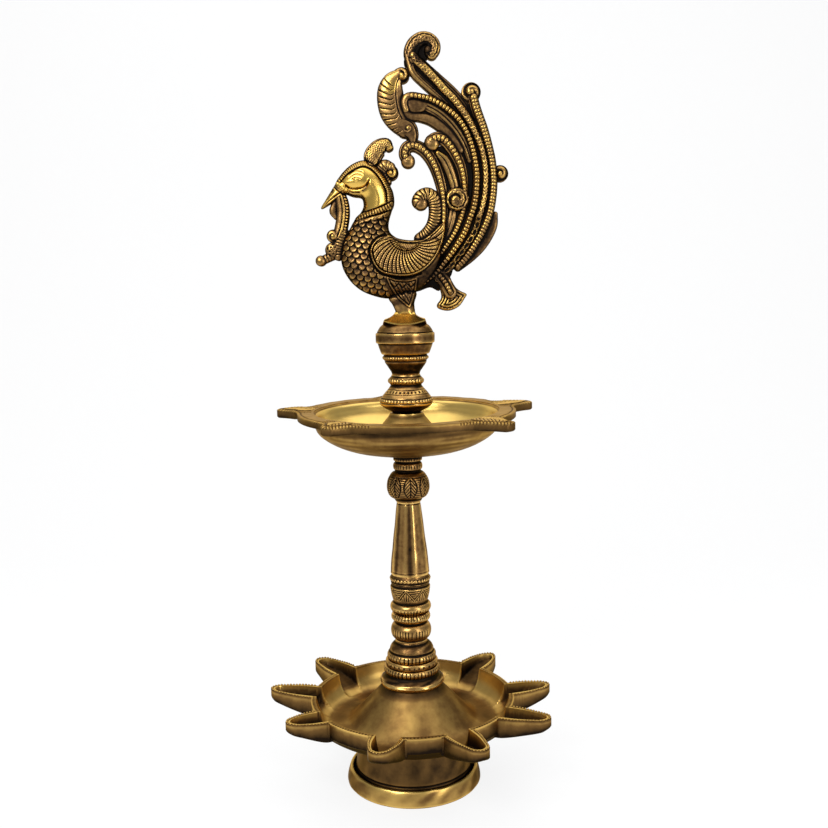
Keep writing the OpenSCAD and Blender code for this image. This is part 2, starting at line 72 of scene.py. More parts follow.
def bead(r, z0, z1, out, n=14):
    """Half round bead standing on a radius."""
    a = np.linspace(0, math.pi, n)
    return np.c_[r + out * np.sin(a), z0 + (z1 - z0) * (1 - np.cos(a)) / 2]


def spaced(p, step):
    """The same line with points at even steps."""
    p = np.asarray(p, float)
    s = np.r_[0, np.cumsum(np.hypot(*np.diff(p[:, :2], axis=0).T))]
    n = max(int(round(s[-1] / step)), 2)
    t = np.linspace(0, s[-1], n + 1)
    return np.c_[[np.interp(t, s, p[:, k]) for k in range(p.shape[1])]].T


def blur(a, sigma, axis, wrap=False):
    """Gaussian blur along one axis, sigma in samples."""
    if sigma < 0.2:
        return a
    k = int(math.ceil(3 * sigma))
    w = np.exp(-0.5 * (np.arange(-k, k + 1) / sigma) ** 2)
    w /= w.sum()
    pad = [(0, 0)] * a.ndim
    pad[axis] = (k, k)
    b = np.pad(a, pad, mode="wrap" if wrap else "edge")
    n = a.shape[axis]
    out = np.zeros_like(a)
    for i, c in enumerate(w):
        out += c * np.take(b, np.arange(i, i + n), axis=axis)
    return out


def step01(x):
    """Soft step from 0 to 1."""
    x = np.clip(x, 0, 1)
    return x * x * (3 - 2 * x)


def peak(x, width):
    """Bell curve of height 1."""
    return np.exp(-((x / width) ** 2))


def window(z, z0, z1, soft=0.3):
    """1 between two heights and 0 elsewhere, with soft ends."""
    return step01((z - z0) / soft + 0.5) * step01((z1 - z) / soft + 0.5)


def ripple(x, y, seed, size, n=7):
    """Soft unevenness of a hand-finished casting, about -1 to 1."""
    rng = np.random.default_rng(seed)
    out = np.zeros(np.broadcast(x, y).shape)
    for _ in range(n):
        a = rng.uniform(0, TAU)
        k = TAU / (size * rng.uniform(0.6, 1.7))
        out = out + np.sin(k * (x * math.cos(a) + y * math.sin(a)) + rng.uniform(0, TAU))
    return out / math.sqrt(n / 1.6)


# Meshes


def add_mesh(name, verts, faces, darkness=None, sharp=40.0):
    """Mesh from points in mm. The darkness values go into a mesh attribute that the brass reads; they hold
    patina and tone, and on some pieces painted shade and painted highlights.
    """
    me = bpy.data.meshes.new(name)
    faces = faces if isinstance(faces, list) else faces.tolist()
    me.from_pydata((np.asarray(verts, float) * MM).tolist(), [], faces)
    me.validate()
    me.polygons.foreach_set("use_smooth", np.ones(len(me.polygons), bool))
    if sharp:
        me.set_sharp_from_angle(angle=math.radians(sharp))
    if darkness is not None:
        patina_and_shade = me.attributes.new("patina_and_shade", "FLOAT", "POINT")
        patina_and_shade.data.foreach_set("value", np.asarray(darkness, np.float32))
    me.update()
    ob = bpy.data.objects.new(name, me)
    bpy.context.scene.collection.objects.link(ob)
    return ob


def dress(ob, slot, body, *nodes):
    """Gives a piece the finish of its slot and its body, and hides the nodes that it replaces."""
    ob.data.materials.append(finish[slot])
    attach(ob, body)
    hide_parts(*nodes)


# Turned pieces are plain within PLAIN_R. Their edges are rounded by EDGE. Patina gathers in hollows of the
# widths ROUND, FINE and WIDE, and is full at the depth RECESS, all in mm.
PLAIN_R, EDGE, ROUND, FINE, WIDE, RECESS = 7.0, 0.22, 0.9, 0.55, 1.6, 0.30


def lathe(name, base, profile, seg, patterns=(), step=0.28, wob=0.05, seed=1, stain=0.0):
    """Turned piece. profile runs from the axis below, up the outside, to the axis above, as radius and height
    above base. Patterns are functions of angle, height, radius and base that give a height off the surface.
    The last argument is a number or such a function that is added to the darkness of the surface: a tone on
    most pieces, and on some also painted shade and painted highlights."""
    line = spaced(np.asarray(profile, float) + (0.0, base), step)
    p = np.c_[blur(line[:, 0], EDGE / step, 0), blur(line[:, 1], EDGE / step, 0)]
    p[0], p[-1] = line[0], line[-1]
    t = np.gradient(p, axis=0)
    t /= np.maximum(np.hypot(*t.T), 1e-9)[:, None]
    normal = np.c_[t[:, 1], -t[:, 0]]
    th = np.arange(seg) / seg * TAU
    r, z = p[:, :1], p[:, 1:]
    off = wob * ripple(th * np.maximum(r, 4), z, seed, 16.0)
    for f in patterns:
        off = off + f(th, z, r, base)
    off = np.where(r > PLAIN_R, off, 0)
    off[0], off[-1] = 0, 0
    rounded = np.c_[blur(p[:, 0], ROUND / step, 0), blur(p[:, 1], ROUND / step, 0)]
    hollow = 1.2 * ((rounded - p) * normal).sum(1)[:, None]
    pitch = np.maximum(np.median(p[:, 0]), 5) * TAU / seg
    for width, share in ((FINE, 1.3), (WIDE, 0.8)):
        hollow = hollow + share * (blur(blur(off, width / step, 0), width / pitch, 1, True) - off)
    darkness = np.clip(hollow / RECESS, -0.7, 1) + (stain(th, z, r, base) if callable(stain) else stain)
    rr, zz = r + off * normal[:, :1], z + off * normal[:, 1:]
    on_axis = p[:, 0] < 1e-6
    verts, darkness_values, start, faces = [], [], [], []
    for i in range(len(p)):
        start.append(len(verts))
        if on_axis[i]:
            verts.append((0, 0, p[i, 1]))
            darkness_values.append(0)
        else:
            verts.extend(np.c_[np.cos(th) * rr[i], np.sin(th) * rr[i], zz[i]].tolist())
            darkness_values.extend(darkness[i].tolist())
    k = np.arange(seg)
    k1 = (k + 1) % seg
    for i in range(len(p) - 1):
        a, b = start[i], start[i + 1]
        if on_axis[i]:
            faces.extend(np.c_[np.full(seg, a), b + k1, b + k].tolist())
        elif on_axis[i + 1]:
            faces.extend(np.c_[a + k, a + k1, np.full(seg, b)].tolist())
        else:
            faces.extend(np.c_[a + k, a + k1, b + k1, b + k].tolist())
    return add_mesh(name, verts, faces, darkness_values)


# Patterns for turned pieces, with heights above the piece's base


def cell(th, n):
    """Place within one of n equal parts of a turn, -0.5 to 0.5, a little uneven as if cut by hand."""
    u = th * n / TAU + 0.16 * np.sin(3 * th + n) + 0.1 * np.sin(7 * th + 2 * n)
    return (u + 0.5) % 1.0 - 0.5


def ticks(z0, z1, n, depth, part=0.36):
    """Row of short cuts across a band."""

    def f(th, z, r, base):
        cuts = (1 - step01(np.abs(cell(th, n)) / (part / 2))) * (0.8 + 0.25 * np.sin(5 * th + base + z0))
        return -depth * cuts * window(z, base + z0, base + z1, 0.4)

    return f


def beads(z0, z1, n, h):
    """Row of round beads."""

    def f(th, z, r, base):
        c = cell(th, n) * TAU * r / n
        half = (z1 - z0) / 2
        w = np.minimum(TAU * r / n / 2, half * 1.15)
        q = 1 - (c / w) ** 2 - ((z - base - (z0 + z1) / 2) / half) ** 2
        return h * np.sqrt(np.clip(q, 0, None))

    return f


def groove(z0, w, depth):
    """Line around a piece."""
    return lambda th, z, r, base: -depth * peak(z - base - z0, w)


def dots(z0, n, radius, depth):
    """Row of punched dots."""

    def f(th, z, r, base):
        return -depth * peak(np.hypot(cell(th, n) * TAU * r / n, z - base - z0), radius)

    return f


def chevrons(z0, z1, n, depth):
    """Zigzag of double lines with hatched fields between them."""

    def f(th, z, r, base):
        zigzag = base + z0 + (z1 - z0) * np.abs(2 * ((th * n / TAU) % 1.0) - 1)
        slope = (z1 - z0) * 2 * n / TAU / r
        lines = peak(np.abs(z - zigzag) / np.sqrt(1 + slope**2) - 0.55, 0.22)
        rows = np.where(z > zigzag + 1.5, peak(z % 1.3 - 0.65, 0.25), 0)
        fan = np.where(z < zigzag - 1.5, peak(cell(th, n * 7) * TAU * r / (n * 7), 0.25), 0)
        cuts = (lines + 0.55 * rows + 0.5 * fan).clip(0, 1)
        return -depth * cuts * window(z, base + z0 - 0.2, base + z1 + 0.2, 0.4)

    return f


def leaves(zc, half, n, depth):
    """Engraved leaves around a ball, with ribs, and hatching between them."""

    def f(th, z, r, base):
        up = z - base - zc
        u = (th * n / TAU + 0.35) % 1 - 0.5
        side, y, arc = np.abs(u), np.abs(up / half), TAU * r / n
        edge = 0.40 * np.sqrt(np.clip(1 - y**1.6, 0, None))
        line = peak((side - edge) * arc, 0.3)
        rib = peak((side * arc * 0.9 + up * 0.75) % 1.6 - 0.8, 0.28) * (side < edge - 0.04)
        middle = peak(u * arc, 0.28)
        between = peak(up % 1.3 - 0.65, 0.22) * (side > edge + 0.03)
        return -depth * np.clip(line + 0.7 * rib + 0.7 * middle + 0.45 * between, 0, 1) * (y < 0.95)

    return f


# Materials


def node(tree, kind, inputs=None, **settings):
    """New node. inputs are constants or sockets by the input's name or number, settings are properties."""
    n = tree.nodes.new(kind)
    n.location = (260 * (len(tree.nodes) % 5), -280 * (len(tree.nodes) // 5))
    for key, value in settings.items():
        setattr(n, key, value)
    for key, value in (inputs or {}).items():
        if isinstance(value, bpy.types.NodeSocket):
            tree.links.new(value, n.inputs[key])
        else:
            n.inputs[key].default_value = value
    return n


def math_node(tree, operation, *values, clamp=False):
    inputs = dict(enumerate(values))
    return node(tree, "ShaderNodeMath", inputs, operation=operation, use_clamp=clamp).outputs[0]


def noise(tree, scale, detail, roughness=0.5):
    place = node(tree, "ShaderNodeTexCoord").outputs["Object"]
    values = {"Vector": place, "Scale": scale, "Detail": detail, "Roughness": roughness}
    return node(tree, "ShaderNodeTexNoise", values).outputs["Fac"]


def spread(tree, value, low, high, to_low, to_high):
    values = {"Value": value, "From Min": low, "From Max": high, "To Min": to_low, "To Max": to_high}
    return node(tree, "ShaderNodeMapRange", values).outputs[0]


def ramp(tree, value, stops):
    n = node(tree, "ShaderNodeValToRGB", {"Fac": value})
    while len(n.color_ramp.elements) < len(stops):
        n.color_ramp.elements.new(0.5)
    for element, (place, colour) in zip(n.color_ramp.elements, stops):
        element.position = place
        element.color = (*colour, 1)
    return n.outputs["Color"]


def material(name):
    mat = bpy.data.materials.new(name)
    mat.use_nodes = True
    mat.node_tree.nodes.clear()
    return mat, mat.node_tree


# Age of an even surface, the ages of the four tones, and the tint of grazing reflections
EVEN_AGE, TONE_AGES = 0.46, (0.12, 0.42, 0.62, 0.86)
GRAZING = (0.78, 0.64, 0.46, 1)


def brass(name, tones, rough, patina, tarnish, scale, speck=0.12):
    """Antique brass: bright rubbed edges, brown tarnish in patches and dark patina in the recesses, read from
    a mesh attribute that on some pieces also holds painted shade and painted highlights. tones are the
    colours from rubbed bright to dark."""
    mat, tree = material(name)
    patina_and_shade_value = node(tree, "ShaderNodeAttribute", attribute_name="patina_and_shade").outputs["Fac"]
    patches = spread(tree, noise(tree, 38.0 * scale, 4.0, 0.52), 0.3, 0.75, -0.5 * tarnish, tarnish)
    specks = spread(tree, noise(tree, 320.0 * scale, 4.0, 0.6), 0.35, 0.75, -0.4 * speck, speck)
    darkness = math_node(tree, "ADD", math_node(tree, "MULTIPLY_ADD", patina_and_shade_value, patina, EVEN_AGE), patches)
    darkness = math_node(tree, "ADD", darkness, specks, clamp=True)
    grain = {"Height": noise(tree, 1500.0, 3.0, 0.55), "Strength": 0.05, "Distance": 0.0006}
    metal = node(tree, "ShaderNodeBsdfPrincipled", {
        "Base Color": ramp(tree, darkness, list(zip(TONE_AGES, tones))), "Metallic": 1.0, "Specular Tint": GRAZING,
        "Roughness": spread(tree, darkness, 0.25, 0.85, *rough),
        "Normal": node(tree, "ShaderNodeBump", grain).outputs["Normal"]})
    node(tree, "ShaderNodeOutputMaterial", {"Surface": metal.outputs["BSDF"]})
    return mat


def steel():
    """Plain screw steel with a slight grain."""
    mat, tree = material("steel")
    grain = noise(tree, 420.0, 5.0)
    metal = node(tree, "ShaderNodeBsdfPrincipled", {
        "Base Color": ramp(tree, grain, ((0, (0.30, 0.29, 0.27)), (1, (0.62, 0.62, 0.63)))), "Metallic": 1.0,
        "Roughness": spread(tree, grain, 0, 1, 0.28, 0.5)})
    node(tree, "ShaderNodeOutputMaterial", {"Surface": metal.outputs["BSDF"]})
    return mat


GOLD = ((0.84, 0.58, 0.165), (0.56, 0.35, 0.098), (0.19, 0.102, 0.032), (0.018, 0.011, 0.007))
BROWN = ((0.76, 0.485, 0.15), (0.43, 0.242, 0.078), (0.13, 0.066, 0.024), (0.013, 0.009, 0.006))
BRONZE = ((0.86, 0.55, 0.12), (0.36, 0.205, 0.072), (0.105, 0.057, 0.024), (0.009, 0.007, 0.006))
finish = {
    "cast_brass": brass("cast_brass", GOLD, (0.33, 0.52), patina=0.5, tarnish=0.08, scale=0.5, speck=0.06),
    "turned_brass": brass("turned_brass", BROWN, (0.24, 0.5), patina=0.55, tarnish=0.15, scale=1.0),
    "bird_brass": brass("bird_brass", BRONZE, (0.24, 0.55), patina=0.62, tarnish=0.12, scale=1.6),
    "steel": steel(),
}
for name in ("foot_washer", "foot_nut", "lower_stud", "upper_stud"):
    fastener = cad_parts[name]
    fastener.data.materials.clear()
    fastener.data.materials.append(finish["steel"])


# Turned pieces


def bored(points, r, depth):
    """Outside profile with a blind bore from below."""
    return np.r_[[[0, depth], [r, depth], [r, 0]], points, [[0, points[-1][1]]]]


def solid(points):
    """Outside profile of a piece without a bore."""
    return np.r_[[[0, 0]], points, [[0, points[-1][1]]]]


def turned(part, body, base, profile, seg, patterns, slot="turned_brass", **more):
    dress(lathe(part + "_turned", base, profile, seg, patterns, **more), slot, body, part)


def foot_stain(th, z, r, base):
    """Darker drum, for its brown tone and for painted shade under the bowl; painted shade in the gap inside
    the lip; and on the lip a painted highlight at the front and back, painted shade at its sides and lower
    edge, and uneven tone.
    """
    gap = step01((38.3 - r) / 0.8) * step01((12 - z) / 3)
    lip = 0.5 * np.cos(th) ** 2 + 0.12 * np.sin(5 * th + 2.1) + 0.3 * step01((3 - z) / 3)
    return np.where(z < 10.2, lip, 0.5 * step01((z - 8) / 3)) + 0.6 * gap


foot = np.r_[
    [[40.8, 0]],
    smooth([[41.6, 0.9], [41.45, 3.2], [40.75, 6.4], [39.9, 8.8], [39.2, 9.8], [38.5, 10], [37.8, 9.4]], 4),
    [[37.2, 8.2], [36.8, 7], [36.4, 8]], smooth([[36, 11], [35.1, 18], [34.2, 27]], 6),
    [[33.8, FOOT_H], [LOW_HOLE, FOOT_H], [LOW_HOLE, 26], [29.8, 26], [31.8, 23], [33.4, 6], [38, 2], [38, 0]],
    [[40.8, 0]],
]
turned("foot", "base", 0.0, foot, 320, (groove(10.6, 0.5, 0.25),), "cast_brass", seed=3, stain=foot_stain)

bell = np.r_[
    [[18.6, 0], [19.8, 0.9], [20, 2.2], [19.3, 3.6]],
    smooth([[17.8, 4.8], [16.4, 6.2], [15.9, 7.2]], 4),
    bead(15.9, 7.4, 11.8, 1.4), bead(15.2, 11.9, 15.9, 1.0), bead(13.9, 16, 20.4, 1.2),
    smooth([[13.7, 20.6], [13.3, 22.8], [12.2, 24.8], [10.3, 26.5], [9.9, 27.5]], 5),
]
turned("pillar_bell", "pillar", Z_BELL, bored(bell, LOW_HOLE, 13.0), 256, (
    ticks(7.8, 11.4, 46, 0.55), ticks(16.4, 20.0, 40, 0.55), ticks(13.2, 14.6, 30, 0.25, 0.5),
    groove(21.2, 0.35, 0.3),
    lambda th, z, r, base: 0.35 * np.sin(5 * th + 0.6) * window(z, base + 0.6, base + 3.4, 1.0),
), seed=5, stain=lambda th, z, r, base: 0.42 - 0.45 * window(z, base + 0.5, base + 3.6, 1.0))

rings = np.r_[
    [[9.7, 0], [9.6, 1]], bead(9.4, 1.4, 11.4, 3.1), [[9.3, 12]], bead(9.5, 12.6, 17.9, 2.6), [[11.6, 18.2]],
    bead(10.3, 18.5, 24.4, 2.3), [[10.4, 24.8], [10.8, 26]],
    smooth([[11.1, 27.2], [11.9, 31], [12.3, 34.4]], 4),
    [[11.6, 34.9], [11.6, 35.5]], bead(11.5, 35.7, 41.2, 0.6), [[11.2, 41.5], [11.2, 42]],
]
turned("pillar_rings", "pillar", Z_RINGS, solid(rings), 240, (
    ticks(3.4, 8.2, 38, 0.5), ticks(14.6, 17.6, 40, 0.55), ticks(18.6, 21.2, 40, 0.55),
    chevrons(27.4, 33.8, 7, 0.42), beads(38.4, 40.4, 34, 0.55), groove(37.6, 0.3, 0.4),
    groove(36.6, 0.22, 0.2),
), seed=7, stain=0.26)

SHAFT_LOW_R, SHAFT_TOP_R = 11.8, 7.2
taper = [
    [SHAFT_TOP_R + share * (SHAFT_LOW_R - SHAFT_TOP_R), z]
    for share, z in ((0.86, 10.01), (0.58, 20.475), (0.26, 33.67), (0, 44.1))]
shaft = np.r_[
    [[11.5, 0], [SHAFT_LOW_R, 0.4], [SHAFT_LOW_R, 1.2]], smooth([[11.7, 3]] + taper, 10), [[7.4, 45.5]]]
turned("pillar_shaft", "pillar", Z_SHAFT, solid(shaft), 220, (
    groove(2.2, 0.22, 0.12), groove(44.0, 0.3, 0.25),
    lambda th, z, r, base: 0.10 * np.sin(9 * th) + 0.06 * np.sin(14 * th + 1.0),
), seed=9, stain=-0.06)

# The knob is drawn 27 mm high and stretched to its height
KNOB_H = 28.5
stretch = KNOB_H / 27
knob = np.r_[
    [[8, 0], [8.3, 0.8]],
    smooth([[8.6, 1.4], [11.4, 3.2], [12.8, 6.2], [13, 9.4], [12.2, 13], [10, 16.2], [8.2, 17.2]], 7),
    [[7.9, 17.8]], bead(7.9, 18.2, 22.4, 1.0),
    [[7.8, 22.8], [7.8, 23.3], [8.7, 23.7], [8.8, 25.9], [12.6, 26.6], [13, 27]],
] * (1.0, stretch)
knob_hole = [[UP_HOLE, KNOB_H], [UP_HOLE, 15.0], [0, 15.0]]
turned("pillar_knob", "pillar", Z_KNOB, np.r_[[[0, 0]], knob, knob_hole], 240, (
    leaves(9.0 * stretch, 6.6, 8, 0.42), ticks(19.4 * stretch, 21.3 * stretch, 30, 0.5),
    ticks(24.0 * stretch, 25.8 * stretch, 30, 0.4),
), wob=0.04, seed=11, stain=0.62)

bulb = np.r_[
    [[8.4, 0], [8.7, 0.6]],
    smooth([
        [9.4, 1], [12.8, 2.6], [15.4, 4.8], [16, 6.6], [15.3, 8.6], [13.4, 11.4], [10.6, 14.6],
        [9.4, 16]], 6),
    [[9.2, 16.6]], bead(9.2, 17, 21.4, 1.1), [[8.8, 21.9], [8.5, 23]],
]
# The bulb's lower part gets painted shade.
turned("pedestal_bulb", "finial", Z_BULB, bored(bulb, UP_HOLE, 10.0), 240, (
    beads(6.9, 8.5, 44, 0.5), groove(6.4, 0.25, 0.3), groove(9.0, 0.25, 0.25), dots(12.9, 30, 0.5, 0.45),
    groove(14.2, 0.2, 0.15), groove(11.6, 0.2, 0.15), beads(17.9, 20.5, 30, 0.6),
), wob=0.06, seed=13, stain=lambda th, z, r, base: 1.3 * step01((base + 6.2 - z) / 2.5))

cup = np.r_[
    smooth([[8.3, 0], [8.7, 1.6], [10.2, 3.8], [11.7, 6], [12.5, 7.2]], 4),
    [[12.6, 8], [13.0, 8.4]], bead(13.0, 8.8, 11.6, 0.4), [[13.6, 12], [14.2, 12.3]],
    smooth([[14.5, 12.9], [15.5, 15.6], [16.4, 18.2]], 4),
    [[17.1, 18.6], [17.6, 19.2], [17.6, 24.4], [17, 25.2]],
    smooth([[16.6, 25.6], [14.8, 28.4], [12.6, 30.1], [10.5, 30.5]], 5),
]
turned("pedestal_cup", "finial", Z_CUP, solid(cup), 260, (
    beads(9.2, 10.9, 44, 0.5), groove(11.7, 0.3, 0.3), groove(8.2, 0.3, 0.3), groove(18.4, 0.3, 0.3),
    groove(25.2, 0.3, 0.35),
), seed=15, stain=lambda th, z, r, base: 0.24 + 0.4 * step01((base + 8.4 - z) / 2))


# Plates and bowls from outlines seen along one axis


def edge_distance(x, y, line):
    """Distance to a closed line, positive inside it."""
    line = np.asarray(line, float)
    best = np.full(x.shape, 1e9)
    inside = np.zeros(x.shape, bool)
    for (ax, ay), (bx, by) in zip(line, np.roll(line, -1, axis=0)):
        ex, ey = bx - ax, by - ay
        l2 = ex * ex + ey * ey
        if l2 < 1e-12:
            continue
        t = np.clip(((x - ax) * ex + (y - ay) * ey) / l2, 0, 1)
        best = np.minimum(best, (x - ax - t * ex) ** 2 + (y - ay - t * ey) ** 2)
        if ay != by:
            inside ^= ((ay > y) != (by > y)) & (x < ex * (y - ay) / ey + ax)
    return np.where(inside, 1, -1) * np.sqrt(best)


def signed(x, y, line, reach=6.0):
    """The same distance, but far outside it is only -reach."""
    line = np.asarray(line, float)
    lo, hi = line.min(0) - reach, line.max(0) + reach
    near = (x > lo[0]) & (x < hi[0]) & (y > lo[1]) & (y < hi[1])
    out = np.full(x.shape, -reach)
    out[near] = edge_distance(x[near], y[near], line)
    return out


def grid(lo, hi, step):
    nx, ny = int((hi[0] - lo[0]) / step) + 1, int((hi[1] - lo[1]) / step) + 1
    return np.meshgrid(lo[0] + np.arange(nx) * step, lo[1] + np.arange(ny) * step)


def plate(gx, gy, f, heights, step, lip=0.0, snap=None, sides=(0.1, 0.45)):
    """Piece with an upper and a lower surface over an outline. f is positive within the outline, and
    heights(x, y, used) gives the upper and lower surface and the darkness at the grid points in use.
    lip is the height of the worked edge at the top of the side walls, snap moves points onto edges, and
    sides are the darkness values of that edge and of the lower surface; the bowls use them for a painted
    highlight along the top of the side walls and painted shade on the lower walls and the underside."""
    inn = f > 0
    keep = inn[:-1, :-1] | inn[1:, :-1] | inn[:-1, 1:] | inn[1:, 1:]
    used = np.zeros_like(inn)
    for sy in (slice(None, -1), slice(1, None)):
        for sx in (slice(None, -1), slice(1, None)):
            used[sy, sx] |= keep
    dy, dx = np.gradient(f, step)
    g2 = np.maximum(dx * dx + dy * dy, 0.05)
    move = used & ~inn
    px, py = gx.copy(), gy.copy()
    lim = 1.3 * step
    px[move] -= np.clip(f[move] * dx[move] / g2[move], -lim, lim)
    py[move] -= np.clip(f[move] * dy[move] / g2[move], -lim, lim)
    index = np.full(inn.shape, -1)
    n = int(used.sum())
    index[used] = np.arange(n)
    x, y = px[used], py[used]
    if snap is not None:
        sx, sy = snap(x.copy(), y.copy())
        stay = move[used]
        x, y = np.where(stay, x, sx), np.where(stay, y, sy)
    top, bot, darkness = heights(x, y, used)
    q = np.c_[index[:-1, :-1][keep], index[:-1, 1:][keep], index[1:, 1:][keep], index[1:, :-1][keep]]
    low = n + np.arange(n)
    e = np.r_[q[:, [0, 1]], q[:, [1, 2]], q[:, [2, 3]], q[:, [3, 0]]]
    key = np.sort(e, axis=1)
    _, first, count = np.unique(key[:, 0] * (n + 1) + key[:, 1], return_index=True, return_counts=True)
    a, b = e[first[count == 1]].T
    verts = [np.c_[x, y, top], np.c_[x, y, bot]]
    darkness_values = [darkness, np.full(n, sides[1])]
    faces = [q, low[q[:, ::-1]]]
    if lip:
        edge = np.unique(np.r_[a, b])
        below = np.full(n, -1)
        below[edge] = 2 * n + np.arange(len(edge))
        verts.append(np.c_[x, y, np.maximum(top - lip, bot + 0.2)][edge])
        darkness_values.append(np.full(len(edge), sides[0]))
        faces += [np.c_[b, a, below[a], below[b]], np.c_[below[b], below[a], low[a], low[b]]]
    else:
        faces.append(np.c_[b, a, low[a], low[b]])
    return np.concatenate(verts), np.concatenate(faces), np.concatenate(darkness_values)


def mirrored(half):
    """Closed plan from its half on one side of the axis, which ends on the axis."""
    return np.r_[half, half[-2::-1] * (1, -1)]


def turned_to(x, y, a):
    """Points as seen along the direction a."""
    return x * math.cos(a) + y * math.sin(a), -x * math.sin(a) + y * math.cos(a)


# Lower bowl: outer and inner radius and height of the rim, reach, half width and wall of a spout, seat of
# the bell, and the trough
RIM, RIM_IN, RIM_TOP, REACH, W, WALL = 63.0, 60.0, 53.5, 25.5, 10.25, 2.8
SEAT, TROUGH_R, TROUGH_Z = 17.5, 46.0, 38.4
# Spouts: angle of the first, step to the next, and how far each is off an even one as cast, in degrees and mm
FIRST_SPOUT, SPOUT_PITCH = 22.7 - 90, 40
LOW_UNEVEN = (
    (2.5, 3.2), (-1, 3), (-7, -1.3), (-3.2, -4), (0, 0), (3.9, 0.5), (0.2, 2), (-2.8, -3.4), (4, -2.5))
LOW_SPOUTS = [
    (math.radians(FIRST_SPOUT + SPOUT_PITCH * i + off), REACH + far)
    for i, (off, far) in enumerate(LOW_UNEVEN)]
# Row of punched dots on the rim, and the crest of a spout: where it starts, its height there and its rise
DOT_R, DOTS = 61.6, 190
CREST_R, CREST_Z, CREST_RISE = 59, 53.4, 2.0
# Channel of a spout: half width, height that its sides rise to, and their rounding
CHANNEL_W, CHANNEL_TOP, CHANNEL_ROUND = 7.4, 58, 0.8
# Rounding of a spout's outer edge, and least thickness of the casting
SPOUT_ROUND, THIN_CAST = 1.1, 1.0
# Part of the bowl that a spout changes: least distance from the axis, and half width
SPOUT_FROM, SPOUT_SIDE = 44, 13
# Step and half width of the grid
LOW_STEP, LOW_HALF = 0.36, 105
bowl_in = smooth([
    [SEAT, Z_BELL], [19, 60.2], [22, 57], [27, 51.6], [32, 46.2], [37, 41.4], [41.5, 38.9], [49.5, 38.6],
    [53, 40], [55.8, 42.4], [58.4, 46.6], [RIM_IN, RIM_TOP]], 12)
bowl_out = np.r_[
    [[0, Z_LOW], [33.4, Z_LOW]], smooth([[37.8, 30.9], [TROUGH_R, 33.8], [54.8, 37.4], [59.85, 40.6]], 6),
    [[61.8, 43.4], [63.2, 44.6]]]


def spout_plan(start, w, reach, wall):
    tip = RIM + reach - wall
    half = smooth([
        [RIM - 2, w], [RIM + reach * 0.28, w * 0.94], [RIM + reach * 0.58, w * 0.76],
        [tip - w * 0.38, w * 0.54], [tip - w * 0.09, w * 0.25], [tip, 0]], 5)
    return mirrored(np.r_[[[start, w]], half])


OUT_PLANS = [spout_plan(RIM * 0.82, W, reach, 0) for _, reach in LOW_SPOUTS]
IN_PLANS = [spout_plan(TROUGH_R + 3, W - WALL, reach, WALL) for _, reach in LOW_SPOUTS]


def low_inside(x, y):
    r = np.hypot(x, y)
    f = RIM - r
    for (a, _), plan in zip(LOW_SPOUTS, OUT_PLANS):
        f = np.maximum(f, signed(*turned_to(x, y, a), plan))
    return np.minimum(f, r - LOW_HOLE)


def crest_at(u, reach):
    """Height of a spout's upper edge."""
    return CREST_Z + CREST_RISE * np.clip((u - CREST_R) / (RIM + reach + 1 - CREST_R), 0, 1)


def low_snap(x, y):
    """Points next to the rim's inner edge and to the edges of the channels are moved onto them."""
    near = 0.55 * LOW_STEP
    r = np.hypot(x, y)
    k = np.where(np.abs(r - RIM_IN) < near * 0.5, RIM_IN / np.maximum(r, 1), 1.0)
    x, y = x * k, y * k
    for (a, _), plan in zip(LOW_SPOUTS, IN_PLANS):
        u, w = turned_to(x, y, a)
        i = np.flatnonzero((u > TROUGH_R + 5) & (np.abs(w) < W))
        c = edge_distance(u[i], w[i], plan)
        i, c = i[np.abs(c) < near], c[np.abs(c) < near]
        e = 1e-3
        gu = (edge_distance(u[i] + e, w[i], plan) - c) / e
        gw = (edge_distance(u[i], w[i] + e, plan) - c) / e
        x[i], y[i] = turned_to(u[i] - c * gu, w[i] - c * gw, -a)
    return x, y


def spout(u, w, r, reach, plans, top, bot, darkness):
    """Upper and lower surface and darkness of the bowl around one spout, which lies along u."""
    tip = RIM + reach
    o, c = (edge_distance(u, w, plan) for plan in plans)
    body = o > -1.0
    outer = body & (r > RIM_IN - 0.01)
    t = np.where(outer, np.maximum(np.where(r > RIM - 0.5, 0, top), crest_at(u, reach)), top)
    worn_and_lit = outer & (u > RIM - 1)
    t = np.where(worn_and_lit, t - 0.45 * np.clip(1 - o / SPOUT_ROUND, 0, 1) ** 2, t)
    floor_line = np.array([
        [TROUGH_R + 2.5, TROUGH_Z + 0.4], [TROUGH_R + 6, TROUGH_Z + 0.6], [RIM - 8, TROUGH_Z + 2],
        [RIM, 44.3], [RIM + reach * 0.35, 46.9], [tip - 9, 49.6], [tip - 2, 52.9], [tip + 2, 58.5]])
    floor = np.interp(u, *floor_line.T) + 1.2 * np.clip(np.abs(w) / CHANNEL_W, 0, 1) ** 4
    channel = floor + (CHANNEL_TOP - floor) * (1 - step01(c / CHANNEL_ROUND)) * 0.5
    within = c > 0.02
    cut = np.where(within, np.minimum(t, channel), t)
    darkness = np.where(worn_and_lit, 0.35 - 0.5 * step01((o - 1.2) / 0.5), darkness)
    # Painted shade in the channels, fuller where the cut is deeper.
    deep = np.where(within, step01((t - channel - 0.2) / 5), 0)
    darkness = darkness + deep * (0.58 + 0.15 * peak(c - 0.5, 0.9) - darkness)
    darkness = np.where(~within & (c > -CHANNEL_ROUND) & (floor < t - 0.8), darkness - 0.35, darkness)
    low_line = smooth([
        [57.5, 41.8], [RIM + 1, 41.6], [tip - 7, 46.9], [tip - 2.5, 48.5], [tip + 1, 50.6]], 8)
    under = np.interp(u, *low_line.T) + 0.9 * np.clip(1 - o / 1.2, 0, 1) ** 2
    low = np.where(body & (r > RIM_IN - 0.5), np.where(r > RIM, under, np.minimum(bot, under)), bot)
    return cut, np.minimum(low, cut - THIN_CAST), darkness


